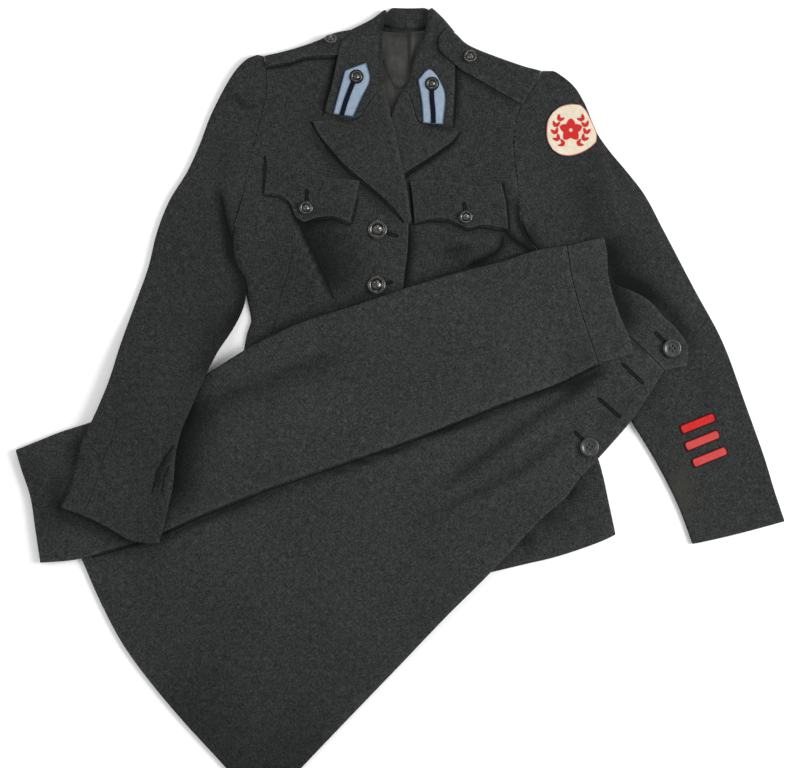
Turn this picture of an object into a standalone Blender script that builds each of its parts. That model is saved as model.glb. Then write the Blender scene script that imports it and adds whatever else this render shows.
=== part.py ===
"""A skirt suit uniform laid out flat: the jacket lies face up and the folded skirt crosses it."""

import bmesh
import bpy
import numpy as np

# Plan drawing: x runs right and y runs down the page, in squares.
SQUARE = 1.18  # millimetres in one square
MIDDLE = (399, 409)  # plan point over the world origin

# Sizes in millimetres
WOOL = 1.5
SKIRT_WOOL = 1.6
LINING = 1.0
FELT = 1.2
BRAID = 1.0
LINING_TOP = 2.8
FRONT_TOP = 4.7
LAYER_ABOVE = 2.3  # from the face of a front to the face of what lies on it
ROLL = 1.7  # radius of a lapel's or the collar's roll
NECK_LIFT = 1.9  # the collar's fall lies under the back at the neck
SLEEVE_TOP = 5.4
SKIRT_BED = 7.2  # the skirt lies this high where the jacket is under it
FOLD_OUTER = 3.8  # radius of the skirt's fold at its outer layer
FOLD_INNER = 1.8
SKIRT_TOP = 2 * FOLD_OUTER
BAR = (36, 9)  # service bar in squares: length and width
ON_TOP = 0.4  # clear height under a tab, badge or button
DOMED_TALL = 6
FLAT_TALL = 4

# Colours: red, green, blue, roughness, metallic
MATERIALS = {
    "wool": (0.036, 0.039, 0.038, 0.95, 0.0),
    "lining": (0.090, 0.093, 0.085, 0.45, 0.0),
    "blue_felt": (0.300, 0.370, 0.470, 0.90, 0.0),
    "cream_felt": (0.680, 0.560, 0.420, 0.90, 0.0),
    "red_braid": (0.500, 0.060, 0.060, 0.85, 0.0),
    "bronze": (0.060, 0.055, 0.048, 0.35, 0.8),
    "black_horn": (0.016, 0.016, 0.016, 0.35, 0.0),
}

# Jacket outlines in squares. Right and left are the wearer's.
RIGHT_SHOULDER = ((263, 60), (280, 57), (295, 53), (310, 49), (330, 41), (345, 36), (363, 31))
RIGHT_ARMHOLE = (
    (263, 60), (266, 80), (266, 95), (263, 108), (255, 140), (247, 172), (242, 195), (236, 215),
)
RIGHT_SIDE = (
    (235, 225), (232, 240), (232, 252), (235, 262), (240, 272), (247, 300), (252, 322),
    (246, 335), (243, 352), (236, 385), (226, 430), (212, 490), (198, 545), (190, 570),
)
RIGHT_EDGE = (
    (363, 31), (367, 45), (369, 62), (372, 78), (379, 95), (387, 112), (392, 130), (399, 165),
    (403, 180), (405.5, 195), (408.5, 215), (408, 240), (407, 255), (405, 270), (403, 290),
    (402, 350), (401, 450), (400, 592),
)
RIGHT_HEM = ((190, 570), (230, 582), (260, 588), (330, 596), (400, 592))
LEFT_SHOULDER = ((444, 37), (457, 44), (468, 53), (481, 60), (500, 66), (520, 73), (539, 80))
LEFT_EDGE = (
    (444, 37), (437, 50), (429, 63), (423, 76), (415, 90), (402, 106), (393, 122), (380, 152),
    (367, 187), (355, 220), (351, 240), (350, 290), (350, 400), (350, 596),
)
LEFT_ARMHOLE = (
    (539, 80), (533, 87), (528, 92), (522, 105), (518, 115), (515, 130), (514, 145), (515, 160),
    (517, 175), (518, 190), (519, 205), (518, 228),
)
LEFT_SIDE = (
    (524, 240), (535, 250), (539, 300), (541, 340), (560, 390), (598, 455), (602, 475),
    (606, 500), (610, 518), (614, 534),
)
LEFT_HEM = (
    (350, 596), (400, 592), (490, 571), (530, 560), (550, 556), (585, 545), (600, 540), (614, 534),
)
BACK_TOP = (
    (267, 59), (295, 49), (320, 42), (340, 35), (366, 32.5), (399, 32.5), (434, 32.5), (457, 38),
    (480, 52), (510, 62), (536, 73),
)
BACK_RIGHT = (
    (267, 59), (270, 80), (270, 95), (259, 140), (251, 172), (243, 210), (242, 225), (238, 245),
    (246, 275), (257, 322), (250, 345), (240, 385), (218, 490), (195, 566),
)
BACK_LEFT = (
    (536, 73), (524, 92), (518, 105), (510, 145), (512, 175), (511, 228), (526, 250), (533, 300),
    (535, 340), (554, 390), (592, 455), (600, 500), (608, 531),
)
BACK_HEM = (
    (195, 566), (230, 577), (260, 583), (330, 591), (400, 587), (490, 566), (550, 551), (608, 531),
)
LINING_NECK = (
    (285, 68), (320, 57), (345, 45), (364, 32.5), (399, 32), (436, 32.5), (460, 50), (490, 66),
    (518, 82),
)
LINING_RIGHT = (
    (285, 68), (276, 110), (262, 160), (252, 215), (262, 300), (264, 340), (248, 400), (212, 540),
)
LINING_LEFT = (
    (518, 82), (505, 120), (504, 160), (506, 225), (520, 300), (522, 345), (560, 420), (590, 510),
)
LINING_HEM = ((212, 540), (260, 556), (330, 564), (400, 560), (490, 542), (590, 510))

# Lapels: each from its gorge seam down to the break above the top button.
RIGHT_ROLL = (
    (412, 222), (410, 210), (408, 195), (405, 178), (402, 165), (398, 145), (395, 130),
    (391, 118), (390, 110), (387, 97), (385, 89),
)
RIGHT_LAPEL_EDGE = (
    (404.5, 222), (398, 213), (380, 195), (360, 178), (350, 170), (340, 160), (330, 148), (316, 130),
    (312, 121),
)
RIGHT_GORGE = ((312, 121), (336, 119.5), (358.6, 118.8), (368.3, 104.5), (380.3, 90), (384.8, 88))
LEFT_ROLL = ((404, 90.5), (400, 95), (396, 104), (390, 119), (377, 152), (364, 187), (354.5, 213))
LEFT_LAPEL_EDGE = (
    (459, 131), (453, 140), (440, 150), (425, 160), (412, 168), (395, 182), (378, 198), (364, 213),
)
LEFT_GORGE = ((459, 131), (452, 128), (436, 125.5), (418.5, 122.3), (413.5, 107.8), (406.5, 91.8), (404, 90))

# Collar: the fall's outer edge, its roll, and the lines where it turns over each shoulder.
COLLAR_RIGHT_EDGE = ((325, 112), (326, 105), (330, 92), (334, 75), (338, 56), (342, 41), (352, 34))
COLLAR_RIGHT_ROLL = ((384, 86), (382, 70), (382, 55), (383, 30), (387, 12))
COLLAR_RIGHT_END = ((325, 112), (340, 116.5), (358, 117.3), (367.3, 103.3), (379.3, 88.5), (384, 86.5))
COLLAR_RIGHT_TURN = ((352, 34), (372, 23), (387, 12))
COLLAR_BACK_EDGE = ((352, 34), (368, 46), (399, 52), (436, 46), (452, 34))
COLLAR_BACK_ROLL = ((387, 12), (392, 7), (398, 8.5), (420, 8.5), (425, 7), (429, 9.5))
COLLAR_LEFT_TURN = ((452, 34), (441, 21), (429, 9.5))
COLLAR_LEFT_EDGE = ((452, 34), (455, 52), (455, 67), (455, 80), (454, 95), (452, 125))
COLLAR_LEFT_ROLL = (
    (429, 9.5), (427, 16), (424, 33), (416, 50), (413, 60), (409, 75), (408, 83), (404, 88),
)
COLLAR_LEFT_END = ((452, 125), (436, 123), (419.6, 120.9), (414.7, 107.2), (407.7, 91.2), (404, 88.5))
RIGHT_OUTWARD = (-0.53, -0.85)
LEFT_OUTWARD = (0.736, -0.677)

# Shoulder straps and pocket flaps
RIGHT_STRAP = {
    "lower": ((348, 54), (340, 55), (312, 56), (305, 57), (290, 62), (278, 64), (267, 66)),
    "upper": ((348, 31), (338, 32), (330, 35), (320, 40), (310, 44), (295, 47), (280, 52), (265, 55)),
}
LEFT_STRAP = {
    "lower": ((449, 59), (460, 69), (475, 77), (490, 87), (505, 95), (521, 104)),
    "upper": ((447, 28), (456, 34), (465, 43), (480, 50), (500, 57), (520, 64), (538, 70.5)),
    "tip": ((449, 59), (440, 51), (439, 38), (447, 28)),
    "end": ((521, 104), (528, 88), (538, 70.5)),
}
RIGHT_FLAP = {
    "top": ((266, 155), (290, 163), (305, 166), (315, 172), (330, 178), (345, 179), (360, 181)),
    "bottom": (
        (264.5, 193), (280, 195), (290, 203), (297, 218), (304, 222), (312, 219), (333, 217), (350, 223),
    ),
    "left": ((266, 155), (267, 165), (264.5, 193)),
    "right": ((360, 181), (356, 198), (350, 223)),
}
LEFT_FLAP = {
    "top": ((410, 181), (440, 180), (460, 183), (475, 186), (501, 183)),
    "bottom": ((414.5, 223), (428, 219), (447, 219), (461, 225), (467, 228), (480, 225), (508, 229)),
    "left": ((410, 181), (412, 195), (414.5, 223)),
    "right": ((501, 183), (505, 198), (508, 229)),
}
RIGHT_TAB = {
    "top": ((345, 71), (355, 67), (366, 63)),
    "bottom": ((333, 114), (353, 117)),
    "left": ((345, 71), (341, 85), (333, 114)),
    "right": ((366, 63), (370, 79), (362, 97), (353, 117)),
}
LEFT_TAB = {
    "top": ((418, 80), (430, 69), (437, 76)),
    "bottom": ((423, 123), (443, 124.5)),
    "left": ((418, 80), (422, 105), (423, 123)),
    "right": ((437, 76), (444, 90), (443, 124.5)),
}

# Sleeves: the side with the armhole follows the front's armhole down to the underarm.
RIGHT_SLEEVE = {
    "cuff": ((61, 507), (85, 516), (115, 531), (128, 539), (150, 543), (160, 543)),
    "left": (
        (254, 55.5), (240, 64), (232, 75), (220, 97), (210, 118), (200, 142), (185, 170), (167, 200),
        (157, 230), (150, 268), (135, 300), (115, 350), (108, 375), (87, 422), (79, 440), (76, 465),
        (68, 492), (61, 507),
    ),
    "right": (
        (259.5, 60), (262.5, 68), (264, 80), (264, 95), (253, 140), (245, 172), (240, 195), (233.5, 218),
        (229, 240), (229, 252), (236.5, 274), (243, 293), (241, 310), (234, 322), (215, 355),
        (200, 385), (179, 430), (177, 440), (172, 490), (167, 515), (160, 543),
    ),
}
LEFT_SLEEVE = {
    "cuff": ((693, 543), (730, 536), (760, 528), (783, 521)),
    "left": (
        (545, 73.5), (541, 78), (530.5, 93), (520, 115), (516, 145), (519, 175), (521, 205), (520, 228),
        (529, 238), (541, 251), (563, 290), (588, 340), (612, 385), (630, 422), (652, 458),
        (665, 482), (678, 507), (693, 543),
    ),
    "right": (
        (553, 72.5), (565, 77), (578, 92), (592, 118), (605, 148), (620, 165), (640, 192), (660, 230),
        (690, 290), (715, 338), (740, 405), (750, 430), (760, 460), (770, 490), (783, 521),
    ),
}
UNDERARM = 216
SEAM_GAP = 0.35

# Skirt, from its hem on the left to its waist on the right
SKIRT_FOLD = (
    (15, 450), (40, 440), (60, 432), (85, 424), (145, 401), (205, 377), (230, 360), (250, 348), (300, 323),
    (350, 307), (400, 290), (460, 272), (500, 262), (538, 250), (566, 246),
)
FLAP_EDGE = (
    (40, 563), (80, 557), (105, 550), (140, 541), (165, 531), (200, 515), (270, 487), (350, 460),
    (420, 436), (500, 404), (560, 382), (590, 367), (598, 363),
)
FLAP_HEM = ((15, 450), (20, 468), (28, 495), (33, 530), (40, 563))
FLAP_SEAM = ((566, 246), (570, 270), (577, 300), (586, 328), (598, 363))
UNDER_HEM = ((15, 450), (38, 488), (62, 527), (80, 557))
UNDER_SEAM = ((566, 246), (566, 272), (580, 300), (605, 321))
SIDE_HEM = ((80, 557), (103, 605), (120, 642), (150, 685), (180, 720), (222, 768), (259, 811))
SIDE_SEAM = ((605, 321), (628, 336), (645, 351), (664, 370))
SKIRT_SIDE = (
    (259, 811), (300, 768), (340, 726), (400, 662), (440, 618), (490, 571), (510, 551), (545, 515),
    (568, 495), (578, 480), (592, 465), (612, 443), (630, 422), (645, 400), (655, 385), (664, 370),
)
FOLD_INSET = (1.1, 3.0)  # from the fold's outline to the middle of its turn
BAND_UNDER_END = (
    (687, 366), (687, 345), (678, 331), (663, 316), (648, 300), (632, 291), (615, 284), (603, 268),
    (603, 237),
)
BAND_FLAP_END = (
    (603, 237), (607, 255), (607, 270), (611, 290), (619, 315), (628, 335), (634, 354),
)

# Fractions down and across a panel
FRONT_ROWS = (0, .03, .06, .1, .15, .2, .25, .3, .34, .38, .42, .46, .5, .54, .6, .7, .8, .9, .98, 1)
FRONT_COLUMNS = (0, .012, .035, .12, .24, .36, .48, .6, .72, .86, 1)
BACK_ROWS = (0, .05, .1, .15, .2, .3, .4, .5, .6, .75, 1)
BACK_COLUMNS = (0, .15, .3, .5, .7, .85, 1)
SLEEVE_ROWS = (0, .1, .2, .3, .4, .5, .6, .7, .8, .9, 1)
SLEEVE_COLUMNS = (.1, .3, .5, .7, .9)
SLEEVE_EDGE = ((0, .5), (.3, .86), (1, 1))  # inset and height of a sleeve's rounded edge
SKIRT_COLUMNS = (0, .05, .11, .16, .2, .24, .28, .32, .36, .4, .45, .53, .62, .72, .82, .91, 1)
FLAP_ROWS = (0, .25, .5, .75, 1)
SIDE_ROWS = (0, .14, .28, .42, .56, .7, .85, 1)
TURN_ANGLES = (30, 60, 90, 120, 150)

# Badges on the left sleeve: the patch's middle and half size, and the bars' middles and slope
PATCH_MIDDLE = (572.5, 130.5)
PATCH_HALF = (25.5, 26)
BAR_MIDDLES = ((698.5, 423.5), (703, 440.5), (710.5, 456))
BAR_SLOPE = 22

# Button profiles: share of the radius, then share of the height
DOMED = ((0, 1), (.45, .92), (.75, .68), (.92, .62), (1, .45), (.9, .2), (.35, .15), (.35, 0), (0, 0))
FLAT = ((0, .62), (.6, .62), (.72, .95), (.9, 1), (1, .7), (.85, .2), (.3, .1), (.3, 0), (0, 0))


def smooth(t):
    t = np.clip(t, 0, 1)
    return t * t * (3 - 2 * t)


def along(line, fractions):
    """Points at these fractions of the length of a smooth line through the given ones."""
    points = np.array(line, float)
    steps = np.linalg.norm(np.diff(points, axis=0), axis=1)
    knots = np.concatenate([[0], np.cumsum(steps)])
    slopes = np.gradient(points, knots, axis=0)
    at = np.asarray(fractions, float) * knots[-1]
    span = np.clip(np.searchsorted(knots, at, side="right") - 1, 0, len(steps) - 1)
    step = steps[span][:, None]
    t = (at - knots[span])[:, None] / step
    start = (1 + 2 * t) * (1 - t) ** 2 * points[span] + t * (1 - t) ** 2 * step * slopes[span]
    end = t * t * (3 - 2 * t) * points[span + 1] + t * t * (t - 1) * step * slopes[span + 1]
    return start + end


def between(first, last, start, end, rows, columns):
    """Fills the plan between a first and last row and a start and end column, given as points."""
    v = np.asarray(rows, float)[:, None, None]
    u = np.asarray(columns, float)[None, :, None]
    rows_mixed = (1 - v) * first + v * last
    columns_mixed = (1 - u) * start[:, None] + u * end[:, None]
    corners = (1 - v) * ((1 - u) * first[0] + u * first[-1]) + v * ((1 - u) * last[0] + u * last[-1])
    return rows_mixed + columns_mixed - corners


def patch(first, last, start, end, rows, columns):
    """Fills the plan between four smooth lines."""
    return between(
        along(first, columns), along(last, columns), along(start, rows), along(end, rows), rows, columns
    )


def neck_lift(y):
    return NECK_LIFT * (1 - smooth((y - 60) / 70))


def closure_rise(x, y):
    """How far the right front climbs over the left lapel and then over the left front."""
    covered = np.where(y < 222, 396 - 0.373 * (y - 104), 352)
    height = 3.9 * smooth((y - 72) / 48) - 2.0 * smooth((y - 228) / 40)
    return height * smooth((x - covered + 54) / 40)


def ridge(x, y, line, height, width):
    """A soft ridge of cloth along a line of plan points."""
    points = along(line, np.linspace(0, 1, 24))
    far = np.min(np.hypot(x[..., None] - points[:, 0], y[..., None] - points[:, 1]), axis=-1)
    return height * np.exp(-((far / width) ** 2))


def right_front_top(x, y):
    return FRONT_TOP + neck_lift(y) + closure_rise(x, y)


def left_front_top(x, y):
    return FRONT_TOP + neck_lift(y)


def right_collar_top(x, y):
    """The fall also climbs over the end of the shoulder strap."""
    over_strap = 2.1 * (1 - smooth((np.hypot(x - 341, y - 44) - 16) / 30))
    return right_front_top(x, y) + LAYER_ABOVE + over_strap


def left_collar_top(x, y):
    return left_front_top(x, y) + LAYER_ABOVE


def sleeve_top(x, y):
    return SLEEVE_TOP + 0.65 * neck_lift(y) + 0 * x


def skirt_bed(x, y):
    """The ground the skirt lies on: the jacket's top, falling to the floor past its side and hem."""
    past_side = -0.970 * (x - 252) - 0.243 * (y - 322)
    hem = np.interp(x, (100, 190, 260, 330, 400, 490, 614), (548, 570, 588, 596, 592, 571, 534))
    over_side = 1 - smooth((past_side - 8) / 54)
    over_hem = 1 - smooth((y - hem - 12) / 78)
    return SKIRT_BED * over_side * over_hem


def under_right_sleeve(x, y):
    """The right sleeve lies on the floor at its elbow and on the skirt's flap at its cuff."""
    past_fold = 0.340 * (x - 604) + 0.940 * (y - 237)
    on_skirt = (SKIRT_TOP + 0.7) * smooth((past_fold + 110) / 85)
    return on_skirt + skirt_bed(x + 8, y) * smooth((past_fold + 60) / 45)


def material(slot):
    """The Principled material of one kind of cloth or trim."""
    if slot in bpy.data.materials:
        return bpy.data.materials[slot]
    made = bpy.data.materials.new(slot)
    made.use_nodes = True
    shader = made.node_tree.nodes["Principled BSDF"]
    red, green, blue, roughness, metallic = MATERIALS[slot]
    shader.inputs["Base Color"].default_value = (red, green, blue, 1)
    shader.inputs["Roughness"].default_value = roughness
    shader.inputs["Metallic"].default_value = metallic
    return made


def add(name, bm, slot):
    """Puts a finished mesh in the suit's collection."""
    mesh = bpy.data.meshes.new(name)
    bm.to_mesh(mesh)
    bm.free()
    mesh.materials.append(material(slot))
    made = bpy.data.objects.new(name, mesh)
    suit.objects.link(made)
    return made


def cloth(name, plan, heights, wall, slot, ring=False):
    """One panel, with its outer face at these heights and its wall grown inwards."""
    rows, columns = heights.shape
    bm = bmesh.new()
    bmesh.ops.create_grid(bm, x_segments=columns - 1, y_segments=rows - 1, size=1)
    places = np.dstack([
        (plan[..., 0] - MIDDLE[0]) * SQUARE, (MIDDLE[1] - plan[..., 1]) * SQUARE, heights,
    ])
    for vert, place in zip(bm.verts, places[::-1].reshape(-1, 3) / 1000):
        vert.co = place
    if ring:
        bmesh.ops.remove_doubles(bm, verts=bm.verts, dist=1e-6)
    made = add(name, bm, slot)
    shell = made.modifiers.new("wall", "SOLIDIFY")
    shell.thickness = wall / 1000
    shell.offset = -1
    return made


def rolled(name, plan, tops, lips, tilts, outwards):
    """A collar or lapel: its face, then the roll at the last row, then the turned-in lip."""
    roll = plan[-1]
    inward = plan[-2] - roll
    inward /= np.linalg.norm(inward, axis=1)[:, None]
    middle = tops / 2
    levels = [middle[row] for row in range(len(plan) - 1)]
    places = []
    for row in range(len(plan) - 1):
        least = (ROLL + 0.6 * (len(plan) - 1 - row)) / SQUARE
        short = np.maximum(least - np.linalg.norm(plan[row] - roll, axis=1), 0)
        places.append(plan[row] + inward * short[:, None])
    for angle in (0, 45, 90, 135, 180):
        turned = np.radians(angle)
        places.append(roll + inward * ROLL * (1 - np.sin(turned)) / SQUARE)
        levels.append(middle[-1] - ROLL * (1 - np.cos(turned)))
    places.append(roll + inward * lips[:, None])
    levels.append(middle[-1] - 2 * ROLL)
    places = np.array(places)
    levels = np.array(levels)
    halves = np.concatenate([middle[:-1], np.repeat(middle[-1:], 6, axis=0)])
    tilt = np.radians(tilts)
    places = places + (levels * np.sin(tilt) / SQUARE)[..., None] * outwards
    return cloth(name, places, halves + levels * np.cos(tilt), WOOL, "wool")


def jacket_back():
    plan = patch(BACK_TOP, BACK_HEM, BACK_RIGHT, BACK_LEFT, BACK_ROWS, BACK_COLUMNS)
    cloth("jacket_back", plan, WOOL + neck_lift(plan[..., 1]), WOOL, "wool")


def back_lining():
    plan = patch(LINING_NECK, LINING_HEM, LINING_RIGHT, LINING_LEFT, BACK_ROWS, BACK_COLUMNS)
    cloth("back_lining", plan, LINING_TOP + neck_lift(plan[..., 1]), LINING, "lining")


def side_drop(plan, columns):
    """The front turns down to the back along the side, below the armhole, and at the hem."""
    inset = np.interp(columns, (0, .012, .035), (2.6, 0.9, 0))
    drop = inset[None, :] * smooth((plan[..., 1] - 215) / 30)
    hem = np.zeros(plan.shape[:2])
    hem[-1] = 0.8
    return np.maximum(drop, hem)


def jacket_fronts():
    columns = np.array(FRONT_COLUMNS)
    plan = patch(
        RIGHT_SHOULDER, RIGHT_HEM, RIGHT_ARMHOLE + RIGHT_SIDE, RIGHT_EDGE, FRONT_ROWS, columns
    )
    x, y = plan[..., 0], plan[..., 1]
    tops = right_front_top(x, y) - side_drop(plan, columns)
    tops += ridge(x, y, ((309, 246), (318, 262), (327, 277), (334, 290)), 1.8, 12)
    cloth("front_right", plan, tops, WOOL, "wool")
    columns = 1 - columns[::-1]
    plan = patch(LEFT_SHOULDER, LEFT_HEM, LEFT_EDGE, LEFT_ARMHOLE + LEFT_SIDE, FRONT_ROWS, columns)
    x, y = plan[..., 0], plan[..., 1]
    tops = left_front_top(x, y) - side_drop(plan, 1 - columns)
    tops += ridge(x, y, ((450, 258), (472, 257), (494, 251)), 1.5, 11)
    cloth("front_left", plan, tops, WOOL, "wool")


def lapels():
    rows = (0, .25, .5, .75, .92, 1)
    columns = (0, .08, .2, .32, .44, .56, .68, .8, .9, 1)
    still = np.zeros(len(columns))
    nowhere = np.zeros((len(columns), 2))
    lips = np.full(len(columns), 2.0)
    bottom = (RIGHT_LAPEL_EDGE[0], RIGHT_ROLL[0])
    plan = patch(RIGHT_LAPEL_EDGE, RIGHT_ROLL, bottom, RIGHT_GORGE, rows, columns)
    tops = right_front_top(plan[..., 0], plan[..., 1]) + LAYER_ABOVE
    rolled("lapel_right", plan, tops, lips, still, nowhere)
    bottom = (LEFT_LAPEL_EDGE[-1], LEFT_ROLL[-1])
    plan = patch(LEFT_LAPEL_EDGE, LEFT_ROLL, LEFT_GORGE, bottom, rows, columns)
    tops = left_front_top(plan[..., 0], plan[..., 1]) + LAYER_ABOVE
    rolled("lapel_left", plan, tops, lips, still, nowhere)


def collar():
    """One band: down the right front, round under the back of the neck, down the left front."""
    rows = (0, .3, .6, .85, 1)
    front = np.array((0, .2, .4, .6, .8, 1))
    back = np.array((0, .12, .3, .5, .7, .88, 1))
    right = patch(COLLAR_RIGHT_EDGE, COLLAR_RIGHT_ROLL, COLLAR_RIGHT_END, COLLAR_RIGHT_TURN, rows, front)
    behind = patch(COLLAR_BACK_EDGE, COLLAR_BACK_ROLL, COLLAR_RIGHT_TURN, COLLAR_LEFT_TURN, rows, back)
    left = patch(COLLAR_LEFT_EDGE, COLLAR_LEFT_ROLL, COLLAR_LEFT_TURN, COLLAR_LEFT_END, rows, front)
    turn = 3
    right_turn = np.repeat(right[:, -1:], turn, axis=1)
    left_turn = np.repeat(left[:, :1], turn, axis=1)
    plan = np.concatenate([right, right_turn, behind, left_turn, left], axis=1)
    fronts = len(front)
    tilts = np.concatenate([
        np.zeros(fronts), (45, 90, 135), np.full(len(back), 180), (135, 90, 45), np.zeros(fronts),
    ])
    outwards = np.zeros((len(tilts), 2))
    outwards[fronts:fronts + turn] = RIGHT_OUTWARD
    outwards[-fronts - turn:-fronts] = LEFT_OUTWARD
    side = np.concatenate([
        np.ones(fronts + turn), np.interp(back, (0, 1), (1, 0)), np.zeros(fronts + turn),
    ])
    x, y = plan[..., 0], plan[..., 1]
    tops = side * right_collar_top(x, y) + (1 - side) * left_collar_top(x, y)
    stand = np.interp(np.arange(len(back)), (0, 2, len(back) - 3, len(back) - 1), (12, 22, 22, 12))
    lips = np.concatenate([
        np.linspace(4, 9, fronts), (11,) * turn, stand, (11,) * turn, np.linspace(9, 4, fronts),
    ])
    rolled("collar", plan, tops, lips, tilts, outwards)


def shoulder_straps():
    rows = (0, .4, .76, .93, 1)
    drops = (0, 0, 0, .32, 1)
    columns = np.linspace(0, 1, 9)
    tip = (RIGHT_STRAP["lower"][0], RIGHT_STRAP["upper"][0])
    end = (RIGHT_STRAP["lower"][-1], RIGHT_STRAP["upper"][-1])
    plan = patch(RIGHT_STRAP["lower"], RIGHT_STRAP["upper"], tip, end, rows, columns)
    tops = right_front_top(plan[..., 0], plan[..., 1]) + LAYER_ABOVE
    tops -= np.outer(drops, tops[-1] / 2)
    cloth("strap_right", plan, tops, WOOL, "wool")
    rows = (0, .4, .8, .94, 1)
    plan = patch(
        LEFT_STRAP["lower"][::-1], LEFT_STRAP["upper"][::-1], LEFT_STRAP["end"], LEFT_STRAP["tip"],
        rows, columns,
    )
    x = plan[..., 0]
    tops = left_front_top(x, plan[..., 1]) + LAYER_ABOVE + 2.0 * (1 - smooth((x - 460) / 30))
    shoulder = smooth((x[-1] - 456) / 16)
    tops -= np.outer(drops, tops[-1] / 2 * shoulder)
    cloth("strap_left", plan, tops, WOOL, "wool")


def laid_on(name, outline, ground, lift, wall, slot, rows, columns):
    """A flap, tab or badge whose face is this much above the ground that it lies on."""
    plan = patch(outline["top"], outline["bottom"], outline["left"], outline["right"], rows, columns)
    cloth(name, plan, ground(plan[..., 0], plan[..., 1]) + lift, wall, slot)


def flaps_and_tabs():
    rows = (0, .35, .7, 1)
    columns = np.linspace(0, 1, 9)
    laid_on("pocket_flap_right", RIGHT_FLAP, right_front_top, LAYER_ABOVE, WOOL, "wool", rows, columns)
    laid_on("pocket_flap_left", LEFT_FLAP, left_front_top, LAYER_ABOVE, WOOL, "wool", rows, columns)
    columns = (0, .5, 1)
    lift = FELT + ON_TOP
    laid_on("collar_tab_right", RIGHT_TAB, right_collar_top, lift, FELT, "blue_felt", rows, columns)
    laid_on("collar_tab_left", LEFT_TAB, left_collar_top, lift, FELT, "blue_felt", rows, columns)


def square_to(line):
    """Unit steps to the right of a line that runs down the page, square to it at each point."""
    ahead = np.gradient(line, axis=0)
    ahead /= np.linalg.norm(ahead, axis=1)[:, None]
    return np.stack([ahead[:, 1], -ahead[:, 0]], axis=1)


def sleeve_plan(outline, armhole_side, front_edge):
    """A sleeve's rows: down the armhole they meet the front's own points, a seam's gap away."""
    armhole = front_edge[front_edge[:, 1] < UNDERARM]
    outward = SEAM_GAP if armhole_side == "left" else -SEAM_GAP
    armhole = armhole + square_to(armhole) * outward
    line = along(outline[armhole_side], np.linspace(0, 1, 200))
    underarm = np.argmin(np.linalg.norm(line - armhole[-1], axis=1)) / 199
    steps = underarm + (1 - underarm) * np.array(SLEEVE_ROWS[1:])
    rows = np.concatenate([np.linspace(0, underarm, len(armhole)), steps])
    seam = np.concatenate([armhole, along(outline[armhole_side], steps)])
    other_side = "right" if armhole_side == "left" else "left"
    sides = {armhole_side: seam, other_side: along(outline[other_side], rows)}
    columns = np.array((0,) + SLEEVE_COLUMNS + (1,))
    top = sides["left"][0] + columns[:, None] * (sides["right"][0] - sides["left"][0])
    return between(top, along(outline["cuff"], columns), sides["left"], sides["right"], rows, columns)


def sleeve(name, outline, armhole_side, front_edge, ground):
    """A flattened tube, open along its armhole and at its cuff."""
    plan = sleeve_plan(outline, armhole_side, front_edge)
    columns = range(plan.shape[1])
    tall = sleeve_top(plan[..., 0], plan[..., 1])
    lines = {"left": plan[:, 0], "right": plan[:, -1]}
    inwards = {"left": square_to(plan[:, 0]), "right": -square_to(plan[:, -1])}
    width = np.linalg.norm(plan[:, 0] - plan[:, -1], axis=1)
    inset = np.minimum(tall[:, 0] / 2 / SQUARE, width * 0.05)[:, None]
    at_armhole = lines[armhole_side][:, 1] < UNDERARM

    def edge(side, share, level, above):
        flat = at_armhole if side == armhole_side else np.zeros(len(plan), bool)
        level = np.where(flat, 1, level) if above else np.where(flat, 0, 1 - level)
        return lines[side] + inwards[side] * inset * share, tall[:, 0] * level

    inner = range(1, len(columns) - 1)
    above = [edge("left", share, level, True) for share, level in SLEEVE_EDGE]
    above += [(plan[:, column], tall[:, column]) for column in inner]
    above += [edge("right", share, level, True) for share, level in SLEEVE_EDGE[::-1]]
    below = [edge("right", share, level, False) for share, level in SLEEVE_EDGE]
    below += [(plan[:, column], 0 * tall[:, column]) for column in reversed(inner)]
    below += [edge("left", share, level, False) for share, level in SLEEVE_EDGE[::-1]]
    ring = below + above[1:] if armhole_side == "right" else above + below[1:]
    places = np.stack([place for place, _ in ring], axis=1)
    heights = np.stack([height for _, height in ring], axis=1)
    cloth(name, places, heights + ground(places[..., 0], places[..., 1]), WOOL, "wool", ring=True)


def sleeves():
    right_edge = along(RIGHT_ARMHOLE + RIGHT_SIDE, FRONT_ROWS)
    left_edge = along(LEFT_ARMHOLE + LEFT_SIDE, FRONT_ROWS)
    sleeve("sleeve_right", RIGHT_SLEEVE, "right", right_edge, under_right_sleeve)
    sleeve("sleeve_left", LEFT_SLEEVE, "left", left_edge, lambda x, y: 0 * x)


def round_outline(middle, half):
    """Four quarters of an ellipse as the sides of a patch."""
    starts = {"top": (225, 1), "right": (315, 1), "bottom": (135, -1), "left": (225, -1)}
    outline = {}
    for side, (start, turn) in starts.items():
        angles = np.radians(start + turn * np.linspace(0, 90, 5))
        outline[side] = [
            (middle[0] + half[0] * np.cos(angle), middle[1] + half[1] * np.sin(angle)) for angle in angles
        ]
    return outline


def bar_outline(middle, size, slope):
    """A sloping bar as the sides of a patch."""
    slope = np.radians(slope)
    lengthwise = np.array((np.cos(slope), -np.sin(slope))) * size[0] / 2
    crosswise = np.array((np.sin(slope), np.cos(slope))) * size[1] / 2
    upper = (middle - lengthwise - crosswise, middle + lengthwise - crosswise)
    lower = (middle - lengthwise + crosswise, middle + lengthwise + crosswise)
    return {
        "top": upper, "bottom": lower, "left": (upper[0], lower[0]), "right": (upper[1], lower[1]),
    }


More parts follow.
